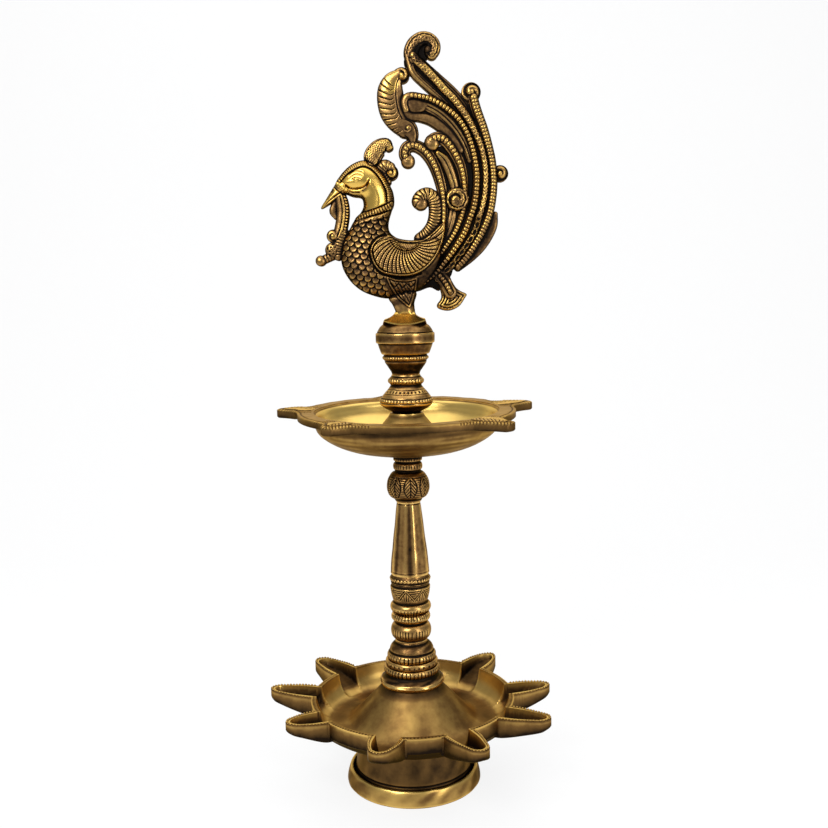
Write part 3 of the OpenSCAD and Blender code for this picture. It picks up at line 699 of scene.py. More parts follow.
def low_heights(x, y, used):
    r, th = np.hypot(x, y), np.arctan2(y, x)
    top = np.where(r < SEAT, Z_BELL, np.interp(r, *bowl_in.T))
    top = np.where(r > RIM_IN - 0.01, RIM_TOP - 0.3 * np.clip(1 - (RIM - r) / 1.2, 0, 1) ** 2, top)
    bot = np.interp(r, *bowl_out.T)
    # Punched dots along the rim, and wear on its edge
    dot = peak(r - DOT_R, 0.45) * step01(np.cos(th * DOTS) * 1.6)
    top = top - 0.3 * dot
    darkness = np.where(r > RIM_IN - 0.2, 0.9 * dot + 0.2 - 0.5 * step01((r - RIM + 1) / 0.8), 0.0)
    for (a, reach), *plans in zip(LOW_SPOUTS, OUT_PLANS, IN_PLANS):
        u, w = turned_to(x, y, a)
        near = (u > SPOUT_FROM) & (np.abs(w) < SPOUT_SIDE)
        top[near], bot[near], darkness[near] = spout(
            u[near], w[near], r[near], reach, plans, top[near], bot[near], darkness[near])
    top = top + 0.04 * ripple(x, y, 21, 30.0) * (r < 58)
    bot = bot + 0.06 * ripple(x, y, 22, 18.0) * (r > 36)
    # Inside the bowl, on a darker ground: a painted highlight on the wall, painted shade in the trough and on
    # the dome under the bell, and painted reflection streaks around the axis in place of soft flutes
    streak = (0.07 * np.sin(9 * th + 0.7) + 0.06 * np.sin(14 * th + 2.0)) * step01((r - 22) / 10)
    tone = 0.2 - 0.3 * step01((r - 51) / 3) + 0.2 * peak(r - TROUGH_R, 5) + 0.45 * step01((22.5 - r) / 3.5)
    darkness = darkness + np.where((r > SEAT) & (r < RIM_IN), tone + streak, 0)
    return top, bot, np.clip(darkness, -1, 1)


# The grid is drawn together where the wall is steep
line = np.arange(0, 110, 0.05)
even = np.r_[0, np.cumsum((1 + 2.2 * window(line, 57.2, 60.6, 1.0)) * 0.05)[:-1]]
gx, gy = grid((-LOW_HALF, -LOW_HALF), (LOW_HALF, LOW_HALF), LOW_STEP)
k = np.hypot(gx, gy)
k = np.interp(k, even, line) / np.maximum(k, 1e-6)
gx, gy = gx * k, gy * k
outline = low_inside(gx, gy)
# The top of the side walls gets a painted highlight, and the lower walls and the underside get painted shade.
v, f, c = plate(gx, gy, outline, low_heights, LOW_STEP, lip=1.0, snap=low_snap, sides=(0.1, 0.8))
dress(add_mesh("lower_bowl_cast", v, f, c, 38), "cast_brass", "lower_bowl", "lower_bowl")


def pearl_rows(name, lines, radius, pitch, seed):
    """Rows of small cast beads, half sunk, along lines of points."""
    rng = np.random.default_rng(seed)
    lat, lon = 4, 8
    unit = [(0, 0, 1)]
    for i in range(1, lat + 1):
        a = i * math.pi / 2 / lat
        for j in range(lon):
            b = j * TAU / lon
            unit.append((math.sin(a) * math.cos(b), math.sin(a) * math.sin(b), math.cos(a)))
    unit = np.array(unit)
    quads = [[0, 1 + j, 1 + (j + 1) % lon] for j in range(lon)]
    for i in range(lat - 1):
        b0, b1 = 1 + i * lon, 1 + (i + 1) * lon
        for j in range(lon):
            quads.append([b0 + j, b1 + j, b1 + (j + 1) % lon, b0 + (j + 1) % lon])
    quads.append([1 + (lat - 1) * lon + j for j in range(lon)][::-1])
    verts, faces, darkness_values = [], [], []
    for p in lines:
        for q in spaced(p, pitch):
            first = len(verts)
            size = radius * rng.uniform(0.85, 1.1)
            verts.extend((q + unit * size - (0, 0, 0.25 * size)).tolist())
            # Painted light: each bead gets a painted highlight on top and painted shade underneath.
            darkness_values.extend((0.65 - 0.9 * unit[:, 2]).tolist())
            faces.extend([[first + k for k in quad] for quad in quads])
    return add_mesh(name, verts, faces, darkness_values, 60)


rows = []
for (a, reach), plan in zip(LOW_SPOUTS, OUT_PLANS):
    edge = plan[plan[:, 0] > RIM - 0.5]
    d = np.gradient(edge, axis=0)
    d /= np.hypot(*d.T)[:, None]
    edge = edge + 0.7 * np.c_[d[:, 1], -d[:, 0]]
    rows.append(np.c_[np.c_[turned_to(*edge.T, -a)], crest_at(edge[:, 0], reach) + 0.05])
row_beads = pearl_rows("lower_bowl_beads", rows, radius=0.78, pitch=1.9, seed=23)
dress(row_beads, "cast_brass", "lower_bowl", "lower_bowl")

# Upper bowl: the dish is turned, the rim with its lips is a plate on it, and the casting leans to the front.
# Radius, reach and half width of the lips, height of the rim's top and underside, and its inner radius
UP_R, UP_REACH, LIP_W, UP_TOP, UP_UNDER, UP_IN = 65.5, 14.5, 18.0, 27.0, 22.6, 55.8
# Lips: angle of the first, step to the next, and how far each is off an even one as cast
FIRST_LIP, LIP_PITCH = 43 - 90, 72
UP_UNEVEN = ((1, 3), (-5, 3), (0, 0), (1, 0.7), (-6, -3))
UP_LIPS = [
    (math.radians(FIRST_LIP + LIP_PITCH * i + off), UP_REACH + far)
    for i, (off, far) in enumerate(UP_UNEVEN)]
# Slope of the lean, which starts outside the boss and is full further out
UP_LEAN, LEAN_FROM, LEAN_OVER = 0.020, 16, 30
# Part of the rim that a lip changes: least distance from the axis, and half width
LIP_FROM, LIP_SIDE = 55, 20
# Engraved leaf on a lip: its middle and half width
LEAF_MID, LEAF_W = 66.0, 7.4
# Step and half width of the grid
UP_STEP, UP_HALF = 0.36, 86


def lean(verts):
    v = np.array(verts, float)
    v[:, 2] += UP_LEAN * v[:, 1] * step01((np.hypot(v[:, 0], v[:, 1]) - LEAN_FROM) / LEAN_OVER)
    return v


dish_out = np.r_[
    [[14, 0]],
    smooth([[22.4, 1.4], [34.72, 4.3], [44.8, 8.4], [52.64, 13.8], [55.44, 19], [56, UP_UNDER]], 8),
    [[56, 26.4]],
]
dish_in = np.r_[
    [[56.2, 26.9]],
    smooth([
        [56.2, 26.9], [53.8, 24.4], [52.4, 21.4], [49.6, 17], [41.44, 9.6], [33.6, 6.7], [27.44, 6.2],
        [21.28, 10.97], [14.56, 18.87], [10.8, 23.5]], 8),
    [[10, 24.9], [10, 25.45], [UP_HOLE, 25.45], [UP_HOLE, 0]],
]


def dish_stain(th, z, r, base):
    """Painted light on the dish: a painted highlight over the inside, with painted shade on the boss under
    the bulb; the outside is darker, with painted shade under the rim and uneven streaks.
    """
    up = z - base
    inside = r < np.interp(up, dish_out[1:, 1], dish_out[1:, 0]) - 1.4
    under = window(up, 18.6, 24.5, 2.0) * (0.75 + 0.25 * np.sin(3 * th + 1))
    boss = step01((19 - r) / 4)
    streak = 0.1 * np.sin(2.1 * up + 1.5 * np.sin(2 * th)) * np.sin(5 * th + 0.4)
    return np.where(inside, -0.7 + 0.75 * boss, 0.32 + 0.45 * under + streak)


profile = np.r_[[[UP_HOLE, 0]], dish_out, dish_in]
dish = lathe("upper_bowl_dish", Z_UP, profile, 360, step=0.5, wob=0.0, stain=dish_stain)
spots = np.empty(len(dish.data.vertices) * 3)
dish.data.vertices.foreach_get("co", spots)
dish.data.vertices.foreach_set("co", (lean(spots.reshape(-1, 3) / MM) * MM).ravel())
dish.data.update()
dress(dish, "cast_brass", "upper_bowl", "upper_bowl")


def lip_plan(reach):
    tip = UP_R + reach
    return mirrored(smooth([
        [UP_R - 9, LIP_W * 1.04], [math.sqrt(UP_R**2 - LIP_W**2) - 1, LIP_W],
        [UP_R + reach * 0.08, LIP_W * 0.6], [UP_R + reach * 0.5, LIP_W * 0.36], [tip - 2.4, LIP_W * 0.25],
        [tip - 0.5, LIP_W * 0.17], [tip, 0]], 5))


LIP_PLANS = [lip_plan(reach) for _, reach in UP_LIPS]


def up_inside(x, y):
    r = np.hypot(x, y)
    f = UP_R - r
    for (a, _), plan in zip(UP_LIPS, LIP_PLANS):
        f = np.maximum(f, signed(*turned_to(x, y, a), plan))
    return np.minimum(f, r - UP_IN)


def up_heights(x, y, used):
    r = np.hypot(x, y)
    e = up_inside(x, y)
    outer = np.where(r - UP_IN < e + 0.5, 9.0, e)
    top = UP_TOP - 0.35 * np.clip(1 - outer / 0.9, 0, 1) ** 2
    bot = UP_UNDER + 0.1 + 0.4 * np.clip(1 - outer / 0.8, 0, 1) ** 2
    # A line along the edge
    groove_line = peak(outer - 2.1, 0.4)
    top = top - 0.35 * groove_line
    darkness = 0.05 + 0.6 * groove_line
    for a, reach in UP_LIPS:
        tip = UP_R + reach
        u, w = turned_to(x, y, a)
        side = np.abs(w)
        lip = (u > LIP_FROM) & (side < LIP_SIDE)
        # Cuts across the edge
        tick = 0.5 - 0.5 * np.cos((side * 0.75 + (tip - u) * 0.6) * TAU / 1.7)
        band = lip & (outer < 1.5) & (r > UP_R - 2.2)
        top = top - np.where(band, 0.45 * tick * step01((1.6 - outer) / 0.8), 0)
        darkness = np.where(band, 0.9 * tick - 0.3, darkness)
        # Engraved leaf: outline, midrib and veins, on a punched field
        half = LEAF_W * np.sqrt(np.clip(1 - ((u - LEAF_MID) / (tip - (LEAF_MID + 3))) ** 2, 0, 1))
        half = half * np.clip((tip - 1 - u) / 14, 0, 1) ** 0.5
        inside = (u > UP_IN + 2) & (u < tip - 3)
        outline = peak(side - half, 0.45) * inside
        middle = peak(w, 0.4) * inside
        vein = peak((u * 0.8 - side * 0.9) % 2.3 - 1.15, 0.34) * (side < half - 0.6) * inside
        field = (side > half + 0.6) & lip & (outer > 2.8) & (r > UP_IN + 1.5) & (side < 15)
        speck = field * step01(np.sin(u * 3.4 + 0.8 * np.sin(w)) * np.sin(w * 3.6) * 2.2)
        cut = np.clip(outline + middle + 0.8 * vein + 0.8 * speck, 0, 1)
        end = lip * step01((u - 62) / 6) * step01((outer + 0.5) / 2)
        leaf = step01((half - side) / 0.8 + 0.5) * inside
        top = top + 0.45 * end + 0.5 * leaf - 0.75 * cut
        bot = bot - 0.8 * end
        engraved = np.maximum(darkness, 1.25 * cut - 0.1) - 0.3 * leaf * (1 - cut)
        darkness = np.where(lip & (r > UP_IN + 1.5), engraved, darkness)
    top = top + 0.06 * ripple(x, y, 31, 16.0)
    return top + Z_UP, bot + Z_UP, np.clip(darkness, -1, 1)


gx, gy = grid((-UP_HALF, -UP_HALF), (UP_HALF, UP_HALF), UP_STEP)
# The lower side walls and the underside of the rim get painted shade.
v, f, c = plate(gx, gy, up_inside(gx, gy), up_heights, UP_STEP, lip=0.9, sides=(0.25, 0.6))
dress(add_mesh("upper_bowl_rim", lean(v), f, c, 38), "cast_brass", "upper_bowl", "upper_bowl")

# Peacock, a casting with the same relief on both sides. Its outlines and lines are given as they lie in the
# photograph, in pixels. BIRD_Y is the plane that they are laid on, PX is the size of a pixel there in mm, and
# BORDER and BOSS_BORDER are the width of a rod and of a boss with the dark border over that of the bright
# part.
BIRD_Y, PX, BORDER, BOSS_BORDER = -2.0, 0.598, 1.22, 1.1
VIEW = np.array(Matrix.Rotation(math.pi / 2 - PITCH, 3, "X") @ Matrix.Rotation(-ROLL, 3, "Z"))


def at(points):
    """Points of the photograph as x and height in mm on the bird's plane."""
    p = np.atleast_2d(np.asarray(points, float)) - PICTURE / 2
    ray = np.c_[p[:, 0] / FOCAL, -p[:, 1] / FOCAL, -np.ones(len(p))] @ VIEW.T
    k = (BIRD_Y - EYE[1]) / ray[:, 1]
    return np.c_[EYE[0] + k * ray[:, 0], EYE[2] + k * ray[:, 2]]


def loop(points, n=4):
    """Closed curve through points."""
    p = np.asarray(points, float)
    return smooth(np.r_[p[-2:], p, p[:2]], n)[2 * n : (len(p) + 2) * n]


def dome(e, power=2.0):
    """Rounded section, 1 in the middle and 0 where e is 1."""
    return np.sqrt(np.clip(1 - np.clip(e, 0, 1) ** power, 0, 1))


def plain(*place):
    """No pattern."""
    return 0.0


class Relief:
    """Heights of one side over a grid, the distance f inside the outline, and the tone added to the age."""

    def __init__(self, lo, hi, step):
        self.lo, self.step = np.array(lo, float), step
        self.x, self.z = grid(lo, hi, step)
        self.f = np.full(self.x.shape, -9.0)
        self.h = np.zeros(self.x.shape)
        self.tone = np.zeros(self.x.shape)

    def window(self, pts, pad):
        """Part of the grid around points."""
        a = np.floor((pts.min(0) - pad - self.lo) / self.step).astype(int)
        b = np.ceil((pts.max(0) + pad - self.lo) / self.step).astype(int) + 1
        a = np.maximum(a, 0)
        return np.s_[a[1] : max(b[1], 0), a[0] : max(b[0], 0)]

    def along(self, line, half, pad):
        """Nearest place on an open line: distance, side, length run and half width there."""
        sl = self.window(line, pad)
        x, z = self.x[sl], self.z[sl]
        best = np.full(x.shape, 1e9)
        side, run, wide = np.zeros_like(x), np.zeros_like(x), np.ones_like(x)
        s0 = 0.0
        for i in range(len(line) - 1):
            ax, az = line[i]
            ex, ez = line[i + 1] - line[i]
            ln = math.hypot(ex, ez)
            if ln < 1e-6:
                continue
            px, pz = x - ax, z - az
            t = np.clip((px * ex + pz * ez) / (ln * ln), 0, 1)
            d2 = (px - t * ex) ** 2 + (pz - t * ez) ** 2
            m = d2 < best
            best = np.where(m, d2, best)
            side = np.where(m, np.sign(ex * pz - ez * px), side)
            run = np.where(m, s0 + t * ln, run)
            wide = np.where(m, half[i] + t * (half[i + 1] - half[i]), wide)
            s0 += ln
        return sl, np.sqrt(best), side, run, wide

    def inside(self, pts, pad, n=4):
        """Part of the grid around an outline, and the distance inside it there."""
        line = loop(at(pts), n)
        sl = self.window(line, pad)
        return sl, edge_distance(self.x[sl], self.z[sl], line)

    def put(self, sl, f, h):
        self.f[sl] = np.maximum(self.f[sl], f)
        self.h[sl] = np.where(f > -2 * self.step, np.maximum(self.h[sl], h), self.h[sl])

    def stroke(self, pts, width, crown, lift, pattern=plain, flat=2.0):
        """Rounded rod along a line; width is that of its bright part, in pixels, at each point."""
        q = smooth(np.c_[at(pts), np.broadcast_to(width, len(pts))])
        half = q[:, 2] * PX / 2 * BORDER
        sl, d, side, s, w = self.along(q[:, :2], half, half.max() + 2)
        self.put(sl, w - d, lift + crown * dome(d / w, flat) + pattern(s, side * d, w))

    def disc(self, c, r, crown, lift, pattern=plain, flat=2.0):
        """Round boss; its pattern takes the share of the radius and the angle."""
        c, r = at(c)[0], r * PX * BOSS_BORDER
        sl = self.window(np.array([c]), r + 2)
        x, z = self.x[sl] - c[0], self.z[sl] - c[1]
        d = np.hypot(x, z)
        self.put(sl, r - d, lift + crown * dome(d / r, flat) + pattern(d / r, np.arctan2(z, x)))

    def area(self, pts, crown, edge, lift, pattern=plain, n=4, soft=0.0):
        """Swelling form in an outline, which reaches its height edge mm inside it."""
        sl, d = self.inside(pts, 2, n)
        h = lift + crown * dome(1 - d / edge)
        if soft:
            h = blur(blur(h, soft / self.step, 0), soft / self.step, 1)
        self.put(sl, d, h + pattern(self.x[sl], self.z[sl], d))

    def over(self, pts, pattern):
        """Adds pattern(x, z, distance inside) to what is there, within an outline."""
        sl, d = self.inside(pts, 1)
        self.h[sl] += np.where(d > 0, pattern(self.x[sl], self.z[sl], d), 0)

    def band(self, pts, width, height, pattern=plain):
        """Raised band on what is there."""
        q = smooth(np.c_[at(pts), np.broadcast_to(width, len(pts))])
        half = q[:, 2] * PX / 2
        sl, d, side, s, w = self.along(q[:, :2], half, half.max() + 1)
        self.h[sl] += np.where(d < w, height * dome(d / w) + pattern(s, side * d, w), 0)

    def cut(self, pts, width, depth):
        """Engraved line."""
        line = smooth(at(pts))
        sl, d, *_ = self.along(line, np.ones(len(line)), 4)
        self.h[sl] -= depth * peak(d, width * PX / 2)

    def knob(self, c, r, height):
        """Round bead on what is there."""
        c, r = at(c)[0], r * PX
        sl = self.window(np.array([c]), r + 1)
        self.h[sl] += height * dome(np.hypot(self.x[sl] - c[0], self.z[sl] - c[1]) / r)

    def stain(self, pts, value, soft=1.5):
        """Makes an area older, or brighter where the value is negative."""
        sl, d = self.inside(pts, soft)
        self.tone[sl] += value * step01(d / soft + 0.5)


# Patterns of strokes take the length run, the distance to the side and the half width


def ribs(pitch, depth, part=0.4, slant=0.0):
    """Cuts across a stroke."""

    def f(s, v, w):
        u = ((s + slant * np.abs(v)) / pitch + 0.5) % 1 - 0.5
        return -depth * (1 - step01(np.abs(u) / (part / 2)))

    return f


def pearls(pitch, h, size=0.8, centre=0.0, square=2.0):
    """Row of beads along a stroke; size is their share of the width."""

    def f(s, v, w):
        u = ((s / pitch + 0.5) % 1 - 0.5) * 2
        q = 1 - np.abs(u / 0.92) ** square - np.abs((v / w - centre) / size) ** square
        return h * np.sqrt(np.clip(q, 0, None))

    return f


def edges(place, depth, width=0.35):
    """Lines along both sides of a stroke."""
    return lambda s, v, w: -depth * peak(np.abs(v) - place * w, width)


def line_at(place, depth, width=0.35):
    """Line along a stroke."""
    return lambda s, v, w: -depth * peak(v - place * w, width)


def pits(pitch, depth):
    """Punched texture."""

    def f(s, v, w):
        across = np.sin(v * TAU / (pitch * 0.8) + 0.7 * np.sin(s * 1.7))
        a = np.sin(s * TAU / pitch + 1.3 * np.sin(s * 0.9)) * across
        return -depth * np.clip(a, 0, 1) * (np.abs(v) < 0.8 * w)

    return f


def links(pitch, h):
    """Chain of long links."""

    def f(s, v, w):
        a = np.abs(np.sin(s * math.pi / pitch)) ** 0.7 * w * 0.62
        return h * peak(np.abs(v) - a, 0.34) - 0.35 * h * (np.abs(v) < a)

    return f


def both(*fs):
    return lambda *place: sum(f(*place) for f in fs)


def spiral(turns, depth, start=0.0, hand=1.0, width=0.16):
    """Curl cut into a disc, closing on its middle."""

    def f(q, phi):
        u = (hand * phi / TAU + start - q * turns) % 1
        u = np.minimum(u, 1 - u) / turns
        return -depth * peak(u, width) * step01((q - 0.22) / 0.1) * step01((1.0 - q) / 0.12)

    return f


def bordered(rise, edge, degrees, pitch, depth):
    """Raised area with a line inside its edge, and hatched within that."""
    c, s = math.cos(math.radians(degrees)), math.sin(math.radians(degrees))

    def f(x, z, d):
        u = ((x * c + z * s) / pitch) % 1 - 0.5
        hatch = -depth * peak(u * pitch, 0.28) * step01((d - 0.3) / 0.5)
        return rise * step01(d / edge) - 0.9 * peak(d - 1.5, 0.35) + (d > 1.9) * hatch

    return f


BIRD_LOW, BIRD_HIGH, BIRD_STEP = (-56, 281), (66, 453), 0.27
rel = Relief(BIRD_LOW, BIRD_HIGH, BIRD_STEP)

# Ground between the plumes
rel.area([(404, 95), (416, 93), (430, 96), (444, 103), (456, 110), (466, 114), (475, 112), (482, 128),
    (488, 150), (491, 172), (491, 195), (487, 214), (478, 236), (464, 258), (450, 273), (438, 281),
    (426, 276), (432, 262), (438, 250), (440, 236), (440, 222), (440, 205), (438, 188), (434, 172),
    (428, 158), (424, 150), (431, 146), (443, 146), (446, 140), (442, 134), (432, 126.5), (422, 121),
    (412, 120), (405, 114)], 0.7, 2.0, 1.5, n=3)

# Crook plume and its stem
HOLLOW = [(413, 50), (418, 44), (426, 42), (431, 47), (430.4, 54), (427, 59), (424, 65), (416, 62)]
rel.area(HOLLOW, 0.5, 1.5, 1.2)
rel.stain(HOLLOW, 0.7)
rel.stroke([(412, 62), (418, 67), (426, 75), (435, 83), (444, 91), (453, 100), (462, 111), (469, 122)],
    [13, 15, 16, 16, 16, 16, 15, 12], 1.4, 1.7,
    both(line_at(0.42, 0.6), line_at(0.74, 0.5), line_at(-0.3, 0.6, 0.5)))
rel.stroke([(407.6, 56), (410, 65), (413.6, 74), (421.5, 82.4), (431, 91), (441.5, 100.4), (450, 109)],
    [5, 5.4, 5.4, 5, 5, 4.6, 4], 1.5, 2.3, line_at(0.3, 0.4))
rel.stroke([(413, 60), (411, 53), (414, 44.5), (420.5, 39), (427.5, 38.6), (433, 42.6), (434.5, 48.6),
    (431.6, 54)], [11.5, 12, 12, 11.2, 10.4, 10, 9.6, 9], 2.4, 1.8,
    both(edges(0.55, 0.5), pits(2.6, 0.3)))
rel.stroke([(431.6, 54), (428.5, 53.6), (427.2, 51)], [8, 6, 5], 2.0, 1.6)
rel.disc((428.6, 50), 4.0, 2.6, 1.8)
rel.stroke([(413, 56), (416.5, 61), (421, 65), (428.5, 73), (437, 82), (445, 91), (454, 100), (463, 111.7),
    (470, 123), (475.5, 134), (480, 144), (482.7, 153), (485, 165.5), (485.6, 177), (485, 190.5),
    (483, 204), (479.5, 216)], [6.5, 6.5, 6.4, 6.2, 6, 6, 6, 6, 6, 5.8, 5.8, 5.6, 5.6, 5.6, 5.4, 5.2, 5],
    2.3, 2.9, pits(2.3, 0.5))
rel.stroke([(479.5, 214), (475, 231), (466, 246), (455, 261), (446, 271), (437, 280)],
    [5.4, 5.6, 5.6, 5.2, 5, 4.4], 1.3, 3.0, links(4.5, 0.8), flat=4)

# Outer plume with cross ribs, its scroll, the ball on its edge and the plain leaf below
rel.stroke([(473, 98), (475.5, 108), (479, 118), (482.7, 128), (486, 139), (489, 150.5), (491.2, 160.5),
    (492.6, 172), (493, 184), (492, 197), (489.6, 211), (484.5, 226), (476, 242), (466, 257), (457, 267)],
    [8, 8.4, 8.2, 8, 7.8, 7.6, 7.4, 7.2, 7.2, 7.2, 7.2, 7.2, 7, 6.6, 6], 2.4, 2.3,
    both(pearls(1.95, 0.6, 0.72, 0.1, 2.6), line_at(-0.7, 0.5)))
rel.disc((471, 92.2), 8.6, 2.6, 1.8, spiral(1.35, 1.5, 0.35, -1, 0.2))
rel.knob((473, 91.6), 2.6, 0.9)
rel.disc((500, 173.6), 7.4, 2.6, 1.8, spiral(1.2, 1.4, 0.1, 1, 0.2))
rel.knob((499.5, 173.6), 2.4, 0.8)
rel.stroke([(495.4, 214), (493, 225), (487.5, 236.5), (480, 247.5), (470.5, 257.5), (458, 268)],
    [4, 7.4, 8.4, 8.2, 7.4, 6], 1.5, 1.6)

# Broad plume: bead row, tongue and dark lower band, with a bordered end
rel.stroke([(406, 110), (404.5, 103), (407, 97.5), (413.5, 96), (422.5, 97.4)], [6, 6.5, 6.5, 6, 5.6],
    2.3, 2.5)
rel.stroke([(405.5, 104), (406, 112), (411, 116.6), (419, 117.2), (431, 120.6), (443, 128.6), (452, 138),
    (460, 150)], [6, 6.5, 7, 7, 8, 8.4, 8, 7], 2.0, 2.0)
rel.area([(406, 100.5), (413, 98.4), (422, 100.4), (429, 105), (424, 111.5), (414, 114), (407, 110)],
    1.9, 2.6, 2.4)
rel.stroke([(416, 103.4), (427.5, 106.5), (440, 113.5), (450.5, 123), (459, 134), (466, 147), (470, 160)],
    [6, 8, 8.6, 8.8, 8, 7, 5], 1.6, 2.5, both(line_at(0.0, 0.7, 0.4), edges(0.62, 0.35)))
rel.stroke([(412, 96), (422.5, 97.4), (431, 100), (440, 104.4), (449, 110.8), (456.6, 117.5), (463, 126),
    (468, 136), (471.5, 146), (474, 156), (475.8, 166), (476.8, 176), (476.3, 190), (474, 206), (470, 218),
    (464, 233), (455, 248), (445, 262), (436, 273), (424, 283)],
    [5.6, 5.6, 5.8, 6, 6, 6, 6, 6, 6, 6, 6, 6.2, 6.4, 6.4, 6.2, 6.2, 6, 5.4, 5, 4], 1.7, 2.8,
    pearls(2.2, 0.95, 0.7, 0, 3.0), flat=3)

# Fan cap with its two scrolls


def fan(s, v, w):
    """Ribs on the outer side of the cap, away from its tip, and a line beside them."""
    side = step01((0.3 - v / w) / 0.2) * step01((s - 5) / 3)
    return ribs(2.7, 1.0, 0.27, 0.35)(s, v, w) * side - 0.5 * peak(v - 0.42 * w, 0.4)


rel.stroke([(399, 74), (393.5, 81), (390.6, 90), (390.6, 101), (393, 112), (398, 121.5), (405, 130)],
    [9, 16, 20.4, 21.4, 20.6, 17.5, 13], 2.4, 1.7, fan)
rel.disc((401.5, 75.4), 7.0, 2.4, 2.2, spiral(1.25, 1.3, 0.2, 1, 0.2))
rel.knob((402, 76.5), 2.4, 0.9)
rel.stroke([(400, 124), (407.5, 129), (411.6, 135), (412.8, 141.5)], [13, 15.5, 12, 7.5], 2.2, 2.0,
    edges(0.72, 0.4))
rel.disc((408, 128.6), 5.2, 1.8, 3.0, spiral(1.2, 1.0, 0.0, -1, 0.22))

# Two hooks and the rod between them
rel.stroke([(407.6, 160), (404.6, 154), (407, 147.5), (413.7, 145.4), (422, 149), (428.7, 155.8),
    (433.8, 164.2), (437.8, 174), (441, 185.5), (443, 196), (443.8, 208), (443.5, 222)],
    [9.6, 9.6, 9.8, 9.8, 9.8, 9.8, 9.6, 9.2, 8.6, 8, 7.6, 7], 2.3, 2.0,
    both(edges(0.6, 0.45), pearls(2.3, 0.6, 0.4)))
rel.disc((408, 161.4), 6.3, 2.7, 2.0)
rel.stroke([(431, 141), (436, 138.4), (443, 139), (450, 145.8), (456, 155.6), (461, 167), (463.6, 179),
    (464.4, 190)], [9.6, 10, 10, 9.6, 9, 8.2, 7.2, 6.4], 2.2, 2.4,
    both(pearls(2.4, 0.75, 0.5), edges(0.66, 0.4)))
rel.disc((431.8, 143.2), 6.9, 2.8, 2.4)
rel.stroke([(438, 153.6), (445, 161), (450, 172), (454, 184), (456, 196)], [4.5, 8, 8, 7.6, 6], 1.8, 2.4,
    line_at(0, 0.6, 0.4))
rel.stroke([(465.4, 186), (464.5, 201), (462, 215), (455.5, 231), (446.4, 245.5), (437, 258), (430, 268),
    (420, 278)], [4.4, 4.8, 5, 5, 5, 4.6, 4.6, 4], 1.2, 2.7, pearls(1.9, 0.7, 0.75))
rel.stroke([(453, 209), (451.5, 219), (447.5, 232), (440, 247), (432, 259)], [6, 7.4, 6.8, 6, 5], 1.4, 2.2,
    line_at(0, 0.35, 0.4))


# Medallion: a curl in a ring
def curl(q, phi):
    ring = -0.9 * peak(q - 0.78, 0.08) * (0.35 + 0.65 * step01(1.2 - np.abs(phi + 0.2)))
    u = (phi / TAU + 0.12 - 0.95 * q) % 1
    coil = -1.3 * peak(np.minimum(u, 1 - u), 0.15) * (q > 0.2) * (q < 0.8)
    return ring + coil - 0.25 * np.clip(np.sin(phi * 9) * np.sin(q * 20), 0, 1)


rel.disc((457, 199.4), 9.6, 1.8, 3.9, curl, flat=4)

# Ribbed hook over the back
rel.stroke([(420.4, 205), (418.4, 201.6), (421.5, 196.8), (427.5, 194.8), (433, 198.4), (435.6, 206),
    (435.6, 216), (433, 226), (427.5, 234), (420, 239)],
    [9, 11, 11.6, 11.8, 11.6, 11.6, 11.6, 11.6, 11.6, 10], 2.6, 2.0, ribs(1.75, 0.7, 0.45, 0.2))
rel.disc((421, 203.4), 6.4, 2.7, 2.0)

# Rump and tail tuft
rel.area([(414, 268), (428, 262), (440, 262), (452, 266), (451, 276), (444, 283), (439, 291), (430, 287.5),
    (418, 291.5), (410, 290)], 1.6, 6.0, 1.9)
TUFT_END = at((451, 293.5))[0]


def tuft(x, z, d):
    """Rows of fringe around the lower end of the tuft."""
    below = step01((TUFT_END[1] + 3.5 - z) / 3) * (d < 6.4)
    rows = 0.9 * peak((np.abs((d / 1.75) % 1 - 0.5) - 0.5) * 1.75, 0.33)
    fringe = np.sin(np.arctan2(x - TUFT_END[0], TUFT_END[1] + 5 - z) * 26)
    return -below * (rows + 0.25 * (d < 1.6) * (fringe > 0.2))


rel.area([(436, 281), (440, 289.5), (441.2, 298), (437, 304.8), (439, 309), (449, 310.8), (459, 306.4),
    (465, 298), (466.6, 294), (460.6, 291), (456, 287.5), (452, 281.5), (449, 276), (440, 274)],
    2.2, 3.0, 2.0, tuft)
rel.stroke([(440, 276), (445.4, 283), (450.4, 292.4)], [10, 10.6, 10], 1.6, 3.8,
    both(pearls(2.1, 0.6, 0.36), edges(0.46, 0.6)))

# Body, neck and head in one swelling form
BODY = [(361.5, 198.5), (363.6, 206), (361, 212.5), (356, 218), (351.5, 226), (347, 234.5), (343.2, 243),
    (341, 255), (342, 265), (345.4, 273.6), (352.6, 283.6), (363.6, 292), (379, 297.4), (390, 298.6),
    (404, 297), (416, 292), (427, 284), (436, 273), (441, 259), (443, 244), (436, 236), (426, 237.6),
    (416, 240), (405, 240.2), (396, 237.6), (389.6, 231.5), (388.6, 223), (391.4, 212), (394.2, 204),
    (393.6, 194), (390.4, 186), (385.4, 177), (378, 168), (370, 162), (362, 160.6), (352, 164.6),
    (344, 171.5), (338, 179.5), (336.5, 185.5), (340.5, 191), (347, 194.5), (353.5, 197)]
rel.area(BODY, 10.2, 19.0, 1.8, soft=0.7)
rel.area([(389, 297), (392.6, 305), (395.6, 312), (395.4, 318), (415.6, 318), (415.2, 312), (414.4, 303),
    (416.4, 292), (404, 288)], 5.2, 6.0, 2.4)

BREAST = [(352, 226), (358, 221), (374, 219), (389, 214), (387.6, 222), (388.8, 231), (381, 236.5),
    (374, 243), (370.6, 251), (372, 261), (377, 269.5), (384.6, 274.8), (386.6, 284), (391, 298),
    (380, 297.6), (364, 292.4), (352.6, 284), (345.4, 274), (341.8, 265), (340.6, 255), (343, 243),
    (347, 234.5)]


